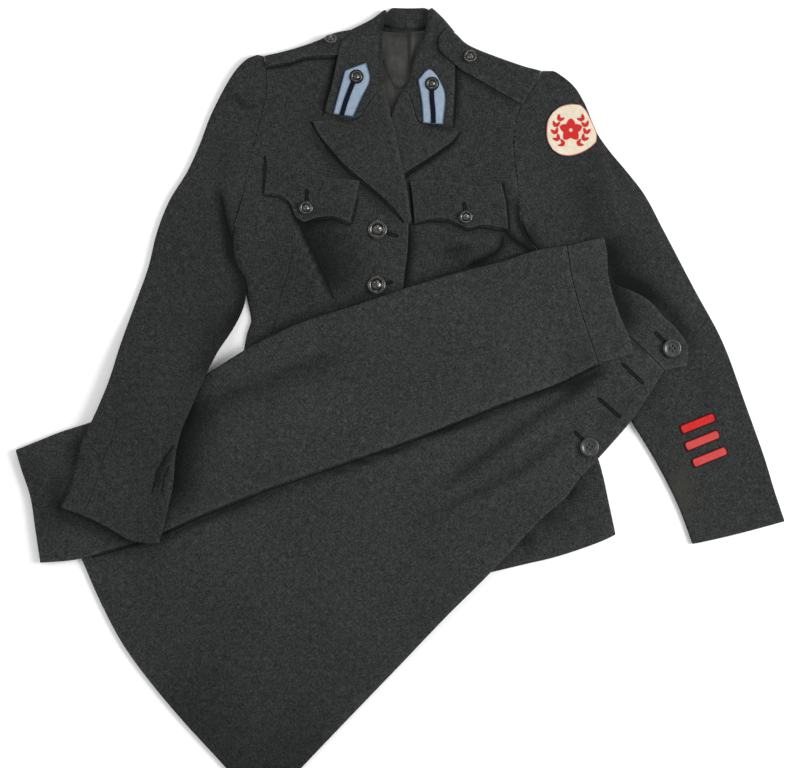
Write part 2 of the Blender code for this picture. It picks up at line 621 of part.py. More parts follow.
def sleeve_badges():
    """The patch under the left shoulder and the three service bars over the left cuff."""
    steps = np.linspace(0, 1, 5)
    outline = round_outline(PATCH_MIDDLE, PATCH_HALF)
    laid_on("shoulder_patch", outline, sleeve_top, FELT + ON_TOP, FELT, "cream_felt", steps, steps)
    for number, middle in enumerate(BAR_MIDDLES, 1):
        outline = bar_outline(np.array(middle), BAR, BAR_SLOPE)
        name = f"service_bar_{number}"
        laid_on(name, outline, sleeve_top, BRAID + ON_TOP, BRAID, "red_braid", (0, 1), (0, 1))


def folded(name, under, flap, outer):
    """A layer that runs under, turns at the fold and comes back over, outside or inside the turn."""
    radius = FOLD_OUTER if outer else FOLD_INNER
    middle = under[-1]
    places = [row for row in under]
    levels = [np.full(len(middle), -radius)] * len(under)
    outward = np.array((-0.340, -0.940))
    for angle in np.radians(TURN_ANGLES):
        places.append(middle + outward * radius / SQUARE * np.sin(angle))
        levels.append(np.full(len(middle), -radius * np.cos(angle)))
    places += [row for row in flap]
    levels += [np.full(len(middle), radius)] * len(flap)
    beds = [skirt_bed(row[:, 0], row[:, 1]) for row in under]
    beds += [beds[-1]] * len(TURN_ANGLES)
    beds += [skirt_bed(row[:, 0], row[:, 1]) for row in flap]
    heights = np.array(levels) + np.array(beds) + FOLD_OUTER
    cloth(name, np.array(places), heights, SKIRT_WOOL, "wool")


def skirt_plan():
    """The skirt's rows from its lower side to the fold, and from the fold to the flap's edge."""
    columns = np.array(SKIRT_COLUMNS)
    fold = np.array(SKIRT_FOLD) + FOLD_INSET
    flap_hem = np.array(FLAP_HEM, float)
    flap_hem[0] = fold[0]
    flap_seam = np.array(FLAP_SEAM, float)
    flap_seam[0] = fold[-1]
    flap = patch(fold, FLAP_EDGE, flap_hem, flap_seam, FLAP_ROWS, columns)
    under = flap.copy()
    hem = along(UNDER_HEM, FLAP_ROWS)
    seam = along(UNDER_SEAM, FLAP_ROWS)
    near_hem = np.interp(columns, (0, columns[3]), (1, 0))[None, :, None]
    near_seam = np.interp(columns, (columns[-5], 1), (0, 1))[None, :, None]
    under += near_hem * (hem[:, None] - flap[:, :1]) + near_seam * (seam[:, None] - flap[:, -1:])
    under[0] = flap[0]
    side = between(
        under[-1], along(SKIRT_SIDE, columns), along(SIDE_HEM, SIDE_ROWS), along(SIDE_SEAM, SIDE_ROWS),
        SIDE_ROWS, columns,
    )
    return np.concatenate([side[:0:-1], under[::-1]]), flap


def skirt():
    """Two layers folded together: the back is outside the fold and the front inside it."""
    lower, flap = skirt_plan()
    folded("skirt_back", lower, flap, True)
    folded("skirt_front", lower, flap, False)


def waistband():
    """The band's two halves carry on from the skirt's last column; the front one ends in a tab."""
    lower, flap = skirt_plan()
    columns = np.array((0, .5, 1))
    shift = np.array((SEAM_GAP, 0))
    rows = np.linspace(0, 1, len(lower))
    seam = lower[:, -1] + shift
    end = np.array(BAND_UNDER_END, float)
    end[-1] += FOLD_INSET
    end = along(end, rows)
    first = seam[0] + columns[:, None] * (end[0] - seam[0])
    last = seam[-1] + columns[:, None] * (end[-1] - seam[-1])
    lower = between(first, last, seam, end, rows, columns)
    rows = np.array(FLAP_ROWS)
    seam = flap[:, -1] + shift
    end = np.array(BAND_FLAP_END, float)
    end[0] += FOLD_INSET
    end = along(end, rows)
    first = seam[0] + columns[:, None] * (end[0] - seam[0])
    last = seam[-1] + columns[:, None] * (end[-1] - seam[-1])
    flap = between(first, last, seam, end, rows, columns)
    folded("waistband_back", lower[1:], flap, True)
    folded("waistband_front", lower, flap, False)


def button(name, x, y, ground, radius, profile):
    """A turned button standing just clear of the cloth."""
    tall = DOMED_TALL if profile is DOMED else FLAT_TALL
    slot = "bronze" if profile is DOMED else "black_horn"
    bm = bmesh.new()
    verts = [bm.verts.new((radius * out / 1000, 0, tall * up / 1000)) for out, up in profile]
    for first, second in zip(verts, verts[1:]):
        bm.edges.new((first, second))
    made = add(name, bm, slot)
    turn = made.modifiers.new("turn", "SCREW")
    turn.steps = 16
    turn.render_steps = 16
    turn.use_merge_vertices = True
    turn.merge_threshold = 1e-5
    across, up = (x - MIDDLE[0]) * SQUARE, (MIDDLE[1] - y) * SQUARE
    made.location = (across / 1000, up / 1000, (ground + ON_TOP) / 1000)


def buttons():
    layer_top = FRONT_TOP + LAYER_ABOVE
    on_skirt = SKIRT_BED + FOLD_OUTER - FOLD_INNER + SKIRT_WOOL
    on_right_tab = right_collar_top(356, 77) + FELT + ON_TOP
    on_left_tab = left_collar_top(432, 84) + FELT + ON_TOP
    rows = (
        ("strap_right_button", 331, 44, layer_top + neck_lift(44), 8, DOMED),
        ("strap_left_button", 470, 58, layer_top + neck_lift(57) + 1.8, 8, DOMED),
        ("flap_right_button", 306, 208, layer_top + 0.1, 8, DOMED),
        ("flap_left_button", 466, 217, layer_top, 8, DOMED),
        ("tab_right_button", 356, 77, on_right_tab, 7, DOMED),
        ("tab_left_button", 432, 84, on_left_tab, 7, DOMED),
        ("front_button_1", 377.5, 230, right_front_top(377.5, 225), 11.5, DOMED),
        ("front_button_2", 376.5, 285, right_front_top(376.5, 275), 11, DOMED),
        ("waist_button", 671, 348, on_skirt, 11.5, FLAT),
        ("placket_button", 589, 447, on_skirt, 11.5, FLAT),
    )
    for row in rows:
        button(*row)


for old in list(bpy.data.objects):
    bpy.data.objects.remove(old)
suit = bpy.data.collections.new("skirt_suit_uniform")
bpy.context.scene.collection.children.link(suit)
jacket_back()
back_lining()
jacket_fronts()
lapels()
collar()
shoulder_straps()
flaps_and_tabs()
sleeves()
sleeve_badges()
skirt()
waistband()
buttons()
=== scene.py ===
import bmesh
import bpy
import numpy as np
from mathutils import Matrix, Vector


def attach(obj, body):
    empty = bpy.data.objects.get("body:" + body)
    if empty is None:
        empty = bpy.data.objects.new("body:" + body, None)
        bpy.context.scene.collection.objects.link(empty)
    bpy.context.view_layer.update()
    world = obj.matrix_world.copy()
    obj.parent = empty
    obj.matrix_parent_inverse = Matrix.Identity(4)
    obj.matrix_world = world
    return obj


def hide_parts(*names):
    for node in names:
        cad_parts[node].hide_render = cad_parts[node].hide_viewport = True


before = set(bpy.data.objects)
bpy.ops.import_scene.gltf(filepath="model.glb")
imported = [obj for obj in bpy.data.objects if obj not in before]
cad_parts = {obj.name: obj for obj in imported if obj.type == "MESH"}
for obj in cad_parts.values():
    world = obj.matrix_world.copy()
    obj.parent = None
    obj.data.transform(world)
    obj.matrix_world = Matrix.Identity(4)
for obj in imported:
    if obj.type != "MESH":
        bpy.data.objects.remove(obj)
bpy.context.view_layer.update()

# The picture. The suit lies on a white table and is seen from straight above in soft studio light.
# Places are points of a plan drawing: x runs right and y down the page in squares of 1.18 mm, and
# the point (399, 409) lies over the origin. Heights and small sizes are in millimetres.
SQUARE = 1.18
MIDDLE = (399, 409)
PICTURE = (791, 768)
CAMERA_HIGH = 2.6
CLOTH_LEVEL = 0.008
TABLE_WHITE = 0.97
TABLE_GREYER = 0.985
ROOM_LIGHT = 0.54


def place(x, y, height=0):
    """A plan point at this height, in metres."""
    return ((x - MIDDLE[0]) * SQUARE / 1000, (MIDDLE[1] - y) * SQUARE / 1000, height / 1000)


def add(name, data):
    """An object with this mesh, light or camera, in the scene."""
    made = bpy.data.objects.new(name, data)
    bpy.context.scene.collection.objects.link(made)
    return made


class Value:
    """A socket of a shader. An expression on it adds the Math nodes that work it out."""

    def __init__(self, paint, socket):
        self.paint = paint
        self.socket = socket

    def maths(self, operation, *values):
        return self.paint.node("ShaderNodeMath", {"operation": operation}, dict(enumerate(values)))

    def __add__(self, other):
        return self.maths("ADD", self, other)

    def __sub__(self, other):
        return self.maths("SUBTRACT", self, other)

    def __rsub__(self, other):
        return self.maths("SUBTRACT", other, self)

    def __mul__(self, other):
        return self.maths("MULTIPLY", self, other)

    def clear(self, low, high):
        """Rises from 0 to 1 between two values, and stays there."""
        settings = {"interpolation_type": "SMOOTHSTEP"}
        return self.paint.node("ShaderNodeMapRange", settings, {0: self, 1: low, 2: high})

    __radd__ = __add__
    __rmul__ = __mul__


class Paint:
    """The nodes of one material."""

    def __init__(self, name, **constants):
        self.material = bpy.data.materials.new(name)
        self.material.use_nodes = True
        self.tree = self.material.node_tree
        self.shader = self.tree.nodes["Principled BSDF"]
        for key, value in constants.items():
            self.shader.inputs[key.replace("_", " ")].default_value = value

    def node(self, kind, settings, values, output=0):
        made = self.tree.nodes.new(kind)
        for key, value in settings.items():
            setattr(made, key, value)
        for key, value in values.items():
            self.plug(made.inputs[key], value)
        return Value(self, made.outputs[output])

    def plug(self, socket, value):
        if isinstance(value, Value):
            self.tree.links.new(value.socket, socket)
        else:
            socket.default_value = value

    def cover(self, key, value):
        self.plug(self.shader.inputs[key], value)

    def coordinates(self, output):
        return self.node("ShaderNodeTexCoord", {}, {}, output)

    def stretched(self, vector, scale):
        return self.node("ShaderNodeVectorMath", {"operation": "MULTIPLY"}, {0: vector, 1: scale})

    def noise(self, vector, scale, detail=2, roughness=0.5):
        values = {"Vector": vector, "Scale": scale, "Detail": detail, "Roughness": roughness}
        return self.node("ShaderNodeTexNoise", {}, values)

    def attribute(self, name):
        return self.node("ShaderNodeAttribute", {"attribute_name": name}, {}, "Fac")

    def mix(self, factor, first, second):
        return self.node("ShaderNodeMix", {"data_type": "RGBA"}, {0: factor, 6: first, 7: second}, 2)

    def along_lines(self, lines, half_wide):
        """1 on lines of plan points, falling to 0 at this many squares to their sides."""
        flat = {"operation": "MULTIPLY"}
        at = self.node("ShaderNodeVectorMath", flat, {0: self.coordinates("Object"), 1: (1, 1, 0)})
        nearest = None
        for start, end in (pair for line in lines for pair in zip(line, line[1:])):
            first = Vector(place(*start))
            step = Vector(place(*end)) - first
            offset = self.node("ShaderNodeVectorMath", {"operation": "SUBTRACT"}, {0: at, 1: first})
            share = {0: offset, 1: step / step.length_squared}
            share = self.node("ShaderNodeVectorMath", {"operation": "DOT_PRODUCT"}, share, 1)
            share = self.node("ShaderNodeClamp", {}, {0: share})
            foot = {0: step, 3: share}
            foot = self.node("ShaderNodeVectorMath", {"operation": "SCALE"}, foot)
            far = self.node("ShaderNodeVectorMath", {"operation": "DISTANCE"}, {0: offset, 1: foot}, 1)
            nearest = far if nearest is None else nearest.maths("MINIMUM", nearest, far)
        return 1 - nearest.clear(0, half_wide * SQUARE / 1000)

    def bump(self, height, distance, strength=1):
        values = {"Height": height, "Distance": distance, "Strength": strength}
        self.cover("Normal", self.node("ShaderNodeBump", {}, values))


def table():
    bm = bmesh.new()
    bmesh.ops.create_grid(bm, x_segments=1, y_segments=1, size=4)
    mesh = bpy.data.meshes.new("table")
    bm.to_mesh(mesh)
    bm.free()
    mesh.transform(Matrix.Translation((0, 0, -0.0003)))
    paint = Paint("white_table", Roughness=0.7)
    grain = paint.noise(paint.coordinates("Object"), 40)
    light = (*[TABLE_WHITE] * 3, 1)
    dark = (*[TABLE_WHITE * TABLE_GREYER] * 3, 1)
    paint.cover("Base Color", paint.mix(grain, dark, light))
    mesh.materials.append(paint.material)
    add("table", mesh)


def softbox(name, at, size, power):
    """A rectangular light that faces the suit."""
    lamp = bpy.data.lights.new(name, "AREA")
    lamp.shape = "RECTANGLE"
    lamp.size, lamp.size_y = size
    lamp.energy = power
    made = add(name, lamp)
    made.location = at
    made.rotation_euler = (-Vector(at)).to_track_quat("-Z", "Y").to_euler()


def camera():
    data = bpy.data.cameras.new("camera")
    data.sensor_fit = "HORIZONTAL"
    data.lens = data.sensor_width * (CAMERA_HIGH - CLOTH_LEVEL) / (PICTURE[0] * SQUARE / 1000)
    made = add("camera", data)
    made.location = place(PICTURE[0] / 2, PICTURE[1] / 2, CAMERA_HIGH * 1000)
    bpy.context.scene.camera = made


table()
camera()
softbox("main_light", (2.30, 0.20, 1.50), (1.3, 1.3), 84)
softbox("fill_light", (-2.00, 0.30, 1.50), (1.6, 1.0), 16)
softbox("back_light", (0.25, 2.40, 1.30), (0.8, 0.4), 12)
world = bpy.data.worlds.new("studio")
world.use_nodes = True
world.node_tree.nodes["Background"].inputs["Color"].default_value = (1, 1, 1, 1)
world.node_tree.nodes["Background"].inputs["Strength"].default_value = ROOM_LIGHT
bpy.context.scene.world = world
bpy.context.scene.view_settings.view_transform = "Standard"


# Jacket back: one panel of charcoal heather wool serge from the shoulder seams to the hem. It lies
# on the table under all the rest, and only slivers of it show past the lining and the fronts.
WOOL = 1.5
BACK_TOP = (
    (266, 57.5), (295, 49), (320, 42), (340, 35), (366, 32.5), (399, 32.5), (434, 32.5), (457, 38),
    (480, 52), (510, 62), (540, 71),
)
BACK_RIGHT = (
    (266, 57.5), (270, 80), (270, 95), (259, 140), (251, 172), (240, 208), (234.5, 226), (232.5, 240),
    (232.5, 252), (236, 266), (243, 279), (246, 297), (251, 318), (250, 345), (240, 385), (218, 490),
    (195, 566),
)
BACK_LEFT = (
    (540, 71), (524, 92), (518, 105), (510, 145), (514, 175), (518, 205), (522.5, 222), (528.5, 236),
    (537.5, 249), (540, 300), (540, 340), (554, 390), (592, 455), (600, 500), (608, 531),
)
BACK_HEM = (
    (195, 566), (230, 577), (260, 583), (330, 591), (400, 587), (490, 566), (550, 551), (608, 531),
)
NECK_LIFT = 1.9
WOOL_DARK = (0.0120, 0.0129, 0.0125)
WOOL_LIGHT = (0.0425, 0.0457, 0.0438)
FLECK = (0.13, 0.13, 0.12, 1)
STAIN = (0.036, 0.035, 0.029, 1)
SEAM_SHADE = (0.004, 0.004, 0.004, 1)
# Painted shade: the colour that cloth darkens towards in hollows, gaps and under edges.
PAINTED_SHADE_COLOUR = (0.0030, 0.0033, 0.0032, 1)


def smooth(t):
    t = np.clip(t, 0, 1)
    return t * t * (3 - 2 * t)


def along(line, fractions):
    """Points at these fractions of the length of a smooth line through the given ones."""
    points = np.array(line, float)
    steps = np.linalg.norm(np.diff(points, axis=0), axis=1)
    knots = np.concatenate([[0], np.cumsum(steps)])
    slopes = np.gradient(points, knots, axis=0)
    at = np.asarray(fractions, float) * knots[-1]
    span = np.clip(np.searchsorted(knots, at, side="right") - 1, 0, len(steps) - 1)
    step = steps[span][:, None]
    t = (at - knots[span])[:, None] / step
    start = (1 + 2 * t) * (1 - t) ** 2 * points[span] + t * (1 - t) ** 2 * step * slopes[span]
    end = t * t * (3 - 2 * t) * points[span + 1] + t * t * (t - 1) * step * slopes[span + 1]
    return start + end


def between(first, last, start, end, rows, columns):
    """Fills the plan between a first and last row and a start and end column, given as points."""
    v = np.asarray(rows, float)[:, None, None]
    u = np.asarray(columns, float)[None, :, None]
    rows_mixed = (1 - v) * first + v * last
    columns_mixed = (1 - u) * start[:, None] + u * end[:, None]
    corners = (1 - v) * ((1 - u) * first[0] + u * first[-1]) + v * ((1 - u) * last[0] + u * last[-1])
    return rows_mixed + columns_mixed - corners


def patch(first, last, start, end, rows, columns):
    """Fills the plan between four smooth lines."""
    return between(
        along(first, columns), along(last, columns), along(start, rows), along(end, rows), rows, columns
    )


def steps(count, edge=0.006):
    """Fractions across a panel, with one close to each edge."""
    return np.concatenate([[0, edge], np.linspace(0, 1, count + 1)[1:-1], [1 - edge, 1]])


def neck_lift(y):
    return NECK_LIFT * (1 - smooth((y - 60) / 70))


def unevenness(x, y):
    """How far cloth that was laid down by hand stands off what is under it, up to half a millimetre."""
    waves = np.sin(x / 23 + 1.7 * np.sin(y / 41)) + np.sin(y / 29 + 1.3 * np.sin(x / 37 + 2))
    waves += 0.6 * np.sin((x + y) / 17 + np.sin(y / 13)) + 0.6 * np.sin((x - y) / 19 + np.sin(x / 15))
    return 0.25 + 0.075 * waves


def ridge(x, y, line, height, left, right, power=2):
    """A ridge along a line, with a width to the left and right of someone who walks along it."""
    points = along(line, np.linspace(0, 1, 40))
    ahead = np.gradient(points, axis=0)
    ahead /= np.linalg.norm(ahead, axis=1)[:, None]
    across = x[..., None] - points[:, 0]
    down = y[..., None] - points[:, 1]
    far = np.hypot(across, down)
    near = np.argmin(far, axis=-1)
    far = np.take_along_axis(far, near[..., None], -1)[..., 0]
    across = np.take_along_axis(across, near[..., None], -1)[..., 0]
    down = np.take_along_axis(down, near[..., None], -1)[..., 0]
    on_right = smooth(0.5 + (ahead[near, 0] * down - ahead[near, 1] * across) / 3)
    width = left + (right - left) * on_right
    share = near / (len(points) - 1)
    ends = smooth(0.25 + 3 * np.minimum(share, 1 - share))
    return height * ends * np.exp(-((far / width) ** power))


def folds(x, y, table):
    return sum((ridge(x, y, *row) for row in table), 0 * x)


def painted_shade_along(x, y, table):
    """Painted shade: how much the colour is darkened in these hollows and gaps, 0 to 1."""
    return np.minimum(folds(x, y, table), 0.9)


def wool(name, painted_brightness=1, stained=False, seam=None, shadows=()):
    """Heather serge: dark and light fibres spun together, a fine weave, and a few pale flecks.

    The shadows are painted shadows: dark lines in the colour where another edge of cloth lies on this one.
    """
    paint = Paint(name, Roughness=0.95, Specular_IOR_Level=0.08, Sheen_Weight=0.03, Sheen_Roughness=0.5)
    cloth_map = paint.coordinates("UV")
    warp = paint.noise(paint.stretched(cloth_map, (1300, 260, 1)), 1, 2, 0.6)
    weft = paint.noise(paint.stretched(cloth_map, (260, 1300, 1)), 1, 2, 0.6)
    slubs = paint.noise(paint.stretched(cloth_map, (1100, 100, 1)), 1, 2, 0.5)
    slubs = slubs + paint.noise(paint.stretched(cloth_map, (100, 1100, 1)), 1, 2, 0.5) - 1
    patchy = paint.noise(cloth_map, 90, 3, 0.6)
    broad = paint.noise(cloth_map, 9, 2, 0.5)
    grain = warp + weft - 1 + 0.95 * slubs
    shade = 0.38 + 1.35 * grain + 0.3 * (patchy - 0.5) + 0.3 * (broad - 0.5)
    shade = shade + 0.16 * paint.attribute("edge")
    # The brightness factor paints a lighter copy of the cloth, standing in for stronger light.
    dark, light = ((*(painted_brightness * part for part in colour), 1) for colour in (WOOL_DARK, WOOL_LIGHT))
    heather = paint.mix(shade.clear(0.05, 0.95), dark, light)
    flecks = paint.noise(cloth_map, 700, 1, 0.4).clear(0.74, 0.82) * 0.6
    heather = paint.mix(flecks, heather, FLECK)
    # Painted shade: the colour darkens with the mark each panel carries for its hollows and gaps.
    heather = paint.mix(paint.attribute("painted_shade"), heather, PAINTED_SHADE_COLOUR)
    if stained:
        blotch = paint.attribute("stain") * (0.35 + 1.3 * (patchy - 0.25)).clear(0, 1)
        heather = paint.mix(blotch, heather, STAIN)
    relief = grain + 0.4 * patchy
    # Painted shadows: thin dark lines in the colour along the given lines.
    if shadows:
        heather = paint.mix(paint.along_lines(shadows, 1.9) * 0.85, heather, PAINTED_SHADE_COLOUR)
    if seam:
        stitched = paint.along_lines([seam], 1.1)
        heather = paint.mix(stitched * 0.45, heather, SEAM_SHADE)
        relief = relief - 1.2 * stitched
    paint.cover("Base Color", heather)
    paint.bump(relief, 0.0009, 0.40)
    return paint.material


def near_edge(plan, ring):
    """1 along a panel's edges, fading out within a few millimetres."""
    sides = [plan[:1], plan[-1:]] if ring else [plan[:1], plan[-1:], plan[:, :1], plan[:, -1:]]
    far = np.min([np.linalg.norm(plan - side, axis=-1) for side in sides], axis=0) * SQUARE
    return np.exp(-((far / 2.2) ** 2))


def panel(name, plan, heights, wall, finish, slot, grain=0, ring=False, drop=0.35, marks=None):
    """A wall of cloth with its outer face at these heights, and its flat width, length and area.

    The marks are fields that the material reads, such as painted shade, which darkens the colour.
    """
    rows, columns = heights.shape
    bm = bmesh.new()
    bmesh.ops.create_grid(bm, x_segments=columns - 1, y_segments=rows - 1, size=1)
    edge = near_edge(plan, ring)
    places = np.dstack(place(plan[..., 0], plan[..., 1], heights - drop * edge))
    for vert, at in zip(bm.verts, places[::-1].reshape(-1, 3)):
        vert.co = at
    mesh = bpy.data.meshes.new(name)
    bm.to_mesh(mesh)
    bm.free()
    turned = np.radians(grain)
    flat = places[::-1].reshape(-1, 3)
    weave = np.stack([
        flat[:, 0] * np.cos(turned) + flat[:, 1] * np.sin(turned),
        flat[:, 1] * np.cos(turned) - flat[:, 0] * np.sin(turned),
    ], axis=1)
    corners = np.empty(len(mesh.loops), np.int32)
    mesh.loops.foreach_get("vertex_index", corners)
    mesh.uv_layers.new(name="weave").data.foreach_set("uv", weave[corners].ravel())
    for field, values in {"edge": edge, **(marks or {})}.items():
        mesh.attributes.new(field, "FLOAT", "POINT").data.foreach_set("value", values[::-1].ravel())
    if ring:
        bm = bmesh.new()
        bm.from_mesh(mesh)
        bmesh.ops.remove_doubles(bm, verts=bm.verts, dist=1e-6)
        bm.to_mesh(mesh)
        bm.free()
    mesh.shade_smooth()
    mesh.materials.append(finish)
    made = add(name, mesh)
    shell = made.modifiers.new("wall", "SOLIDIFY")
    shell.thickness = wall / 1000
    shell.offset = -1
    rounded = made.modifiers.new("rounded_edges", "SUBSURF")
    rounded.levels = rounded.render_levels = 1
    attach(made, "root")
    across = np.linalg.norm(np.diff(places, axis=1), axis=-1)
    down = np.linalg.norm(np.diff(places, axis=0), axis=-1)
    area = float(((across[1:] + across[:-1]) / 2 * (down[:, 1:] + down[:, :-1]) / 2).sum())
    return made, (float(across.sum(axis=1).max()), float(down.sum(axis=0).max())), area


def cloth(name, plan, heights, wall, finish, slot="wool", rests_on=(), trims=(), **facts):
    """A panel that stands for the CAD node of its name, which it hides. Its trims argument is not used."""
    made, flat, area = panel(name, plan, heights, wall, finish, slot, **facts)
    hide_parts(name)
    area = min(area, flat[0] * flat[1])
    return made


serge = wool("charcoal_serge")


def jacket_back():
    plan = patch(BACK_TOP, BACK_HEM, BACK_RIGHT, BACK_LEFT, steps(40), steps(30))
    heights = WOOL + neck_lift(plan[..., 1])
    cloth("jacket_back", plan, heights, WOOL, serge, drop=0)


jacket_back()


# Back lining: grey-green rayon satin sewn in at the neck, with a loose pleat down the middle of the
# back. It shows in the neck opening alone, between the lapels and under the collar's stand.
LINING = 1.0
LINING_TOP = 2.8
LINING_NECK = (
    (285, 68), (320, 57), (345, 45), (364, 32.5), (399, 32), (436, 32.5), (460, 50), (490, 66),
    (518, 82),
)
LINING_RIGHT = (
    (285, 68), (276, 110), (262, 160), (252, 215), (262, 300), (264, 340), (248, 400), (212, 540),
)
LINING_LEFT = (
    (518, 82), (505, 120), (504, 160), (506, 225), (520, 300), (522, 345), (560, 420), (590, 510),
)
LINING_HEM = ((212, 540), (260, 556), (330, 564), (400, 560), (490, 542), (590, 510))
LINING_PLEAT = ((407.5, 30), (408, 55), (408, 84))
LINING_PUCKERS = (
    (((399, 34), (397, 60), (399, 84)), 0.5, 4, 5),
    (((390, 45), (391, 70), (396, 88)), 0.6, 3, 3),
    (((394, 88), (400, 84), (406, 80)), 0.5, 3, 3),
    (((386, 50), (388, 80), (394, 104)), 0.5, 2.5, 2.5),
)
# Painted shade on the lining: darker colour beside the pleat, under the collar's stand and low in the neck
# opening.
LINING_PAINTED_SHADE = (
    (((408.5, 33), (409, 56), (409.5, 84)), 0.75, 3.5, 1.2),
    (((384, 34), (399, 33), (416, 33), (434, 35)), 0.70, 3, 5),
    (((386, 50), (386, 70), (390, 84)), 0.45, 3, 4),
    (((392, 89), (400, 87), (409, 84)), 0.65, 2, 6),
    (((427, 40), (420, 54), (414, 66), (412, 84)), 0.6, 5, 5),
    (((391, 97), (397, 106), (398, 122)), 0.7, 12, 12),
)
# Painted shadows: dark lines along the pleat and along the lining's lower fold.
LINING_SHADOWS = (
    ((408.5, 33), (409, 56), (409.3, 84)),
    ((383, 60), (388, 74), (394, 85), (399, 88.5), (404, 86), (409, 81)),
)
SATIN_DARK = (0.014, 0.0150, 0.0130, 1)
SATIN_LIGHT = (0.042, 0.0445, 0.0390, 1)


def satin():
    paint = Paint("lining_satin", Roughness=0.45, Specular_IOR_Level=0.3)
    cloth_map = paint.coordinates("UV")
    threads = paint.noise(paint.stretched(cloth_map, (1600, 240, 1)), 1, 2, 0.6)
    mottle = paint.noise(cloth_map, 60, 3, 0.55)
    shade = 0.5 + 0.8 * (threads - 0.5) + 0.9 * (mottle - 0.5)
    colour = paint.mix(shade.clear(0.1, 0.9), SATIN_DARK, SATIN_LIGHT)
    # Painted shade from the lining's mark, then painted shadow lines.
    colour = paint.mix(paint.attribute("painted_shade"), colour, PAINTED_SHADE_COLOUR)
    paint.cover("Base Color", paint.mix(paint.along_lines(LINING_SHADOWS, 2) * 0.8, colour, PAINTED_SHADE_COLOUR))
    paint.bump(threads + 0.6 * mottle, 0.0004, 0.4)
    return paint.material


def back_lining():
    columns = np.concatenate([steps(12), np.linspace(0.40, 0.62, 40)])
    rows = np.concatenate([steps(12), np.linspace(0.0, 0.14, 22)])
    rows, columns = np.unique(rows), np.unique(columns)
    plan = patch(LINING_NECK, LINING_HEM, LINING_RIGHT, LINING_LEFT, rows, columns)
    x, y = plan[..., 0], plan[..., 1]
    heights = LINING_TOP + neck_lift(y) + folds(x, y, LINING_PUCKERS)
    pleat_across, pleat_down = zip(*LINING_PLEAT)
    pleat_x = np.interp(y, pleat_down, pleat_across)
    open_pleat = 1 - smooth((y - 92) / 20)
    heights += 1.3 * open_pleat * np.exp(-(((x - pleat_x - 3.2) / 2.6) ** 2))
    marks = {"painted_shade": painted_shade_along(x, y, LINING_PAINTED_SHADE)}
    cloth(
        "back_lining", plan, heights, LINING, satin(), "lining", drop=0, rests_on=["jacket_back"],
        marks=marks,
    )


back_lining()


# Jacket fronts: two panels of the same serge, the wearer's right one lapping over the left. Each is
# shaped at the waist by a dart and lies over the lining, with soft folds where it was pushed up.
FRONT_TOP = 4.7
FOLD_END = (604, 237)
FOLD_DOWN = (0.340, 0.940)
RIGHT_SHOULDER = ((264, 55.8), (280, 56), (295, 53), (310, 49), (330, 41), (345, 36), (363, 31))
RIGHT_ARMHOLE = (
    (264, 55.8), (266, 68), (266.5, 80), (266.5, 95), (263, 108), (255, 140), (247, 172), (243, 195),
    (237, 215),
)
RIGHT_SIDE = (
    (235, 225), (232.5, 240), (232.5, 252), (236, 266), (243, 278), (246, 296), (251, 318),
    (246, 335), (243, 352), (236, 385), (226, 430), (212, 490), (198, 545), (190, 570),
)
RIGHT_EDGE = (
    (363, 31), (367, 45), (369, 62), (372, 78), (379, 95), (387, 112), (392, 130), (399, 165),
    (403, 180), (405.5, 195), (408.5, 215), (408, 240), (407, 255), (405, 270), (403, 290),
    (402, 350), (401, 450), (400, 592),
)
RIGHT_HEM = ((190, 570), (230, 582), (260, 588), (330, 596), (400, 592))
LEFT_SHOULDER = ((444, 37), (457, 44), (468, 53), (481, 60), (500, 66), (522, 70.6), (541.2, 70.7))
LEFT_EDGE = (
    (444, 37), (437, 50), (429, 63), (423, 76), (415, 90), (402, 106), (393, 122), (380, 152),
    (367, 187), (355, 220), (351, 240), (350, 290), (350, 400), (350, 596),
)
LEFT_ARMHOLE = (
    (541.2, 70.7), (536, 84), (529, 92), (522, 105), (518, 115), (515, 130), (514, 145), (515, 160),
    (517, 175), (518.5, 190), (520, 205), (522, 222),
)
LEFT_SIDE = (
    (528, 236), (537, 249), (545, 261.5), (549, 280), (549, 310), (552, 350), (572, 400), (598, 455),
    (604, 475), (609, 500), (613, 518), (616.5, 535),
)
LEFT_HEM = (
    (350, 596), (400, 592), (490, 573), (530, 563.5), (550, 559), (585, 548), (600, 542.5),
    (616.5, 535),
)
RIGHT_FRONT_FOLDS = (
    (((285, 204), (293, 225), (301, 243), (315, 273), (327, 300)), 6.5, 4.5, 34, 1.6),
    (((346, 196), (352, 232), (360, 262), (370, 300)), 6.5, 26, 30),
    (((250, 178), (243, 200), (239, 222), (240, 248), (249, 280)), 2.4, 22, 6),
)
# Painted shade on the right front: darker colour in the crease, under the flap, lapel, strap and collar edges,
# and near the skirt.
RIGHT_FRONT_PAINTED_SHADE = (
    (((289, 206), (299, 226), (306, 243), (320, 273), (332, 302)), 0.85, 32, 1.5, 1.5),
    (((264.5, 152), (263.5, 172), (262.5, 196), (279, 198)), 0.2, 2.5, 2.5),
    (((276, 197.5), (288, 205), (295, 220), (304, 225.5), (313, 222), (333, 220.5), (352, 227)), 0.4, 3, 4),
    (
        ((310, 120), (315, 133), (329, 151), (339, 163), (349, 173), (359, 181), (379, 198), (400, 219)),
        0.7, 5, 7, 1.5,
    ),
    (((337, 52), (336, 60), (332, 75), (328, 91), (324, 104), (323, 116)), 0.75, 3, 5),
    (((264, 69), (290, 65), (305, 59.5), (330, 58.5), (342, 58)), 0.6, 3, 2.5),
    (((252, 342), (300, 320), (350, 304), (404, 286)), 0.45, 7, 4),
)
LEFT_FRONT_FOLDS = (
    (((456, 262), (472, 260), (487, 256), (494, 248), (497, 239)), 5.5, 14, 4.5, 1.5),
    (((507, 230), (518, 240), (530, 249), (545, 262)), 5.0, 4, 12, 1.6),
    (((511, 178), (512.5, 200), (511, 220), (508, 232)), 3.6, 5, 6, 1.6),
    (((420, 236), (440, 243), (462, 240), (478, 240)), 3.0, 12, 8),
)
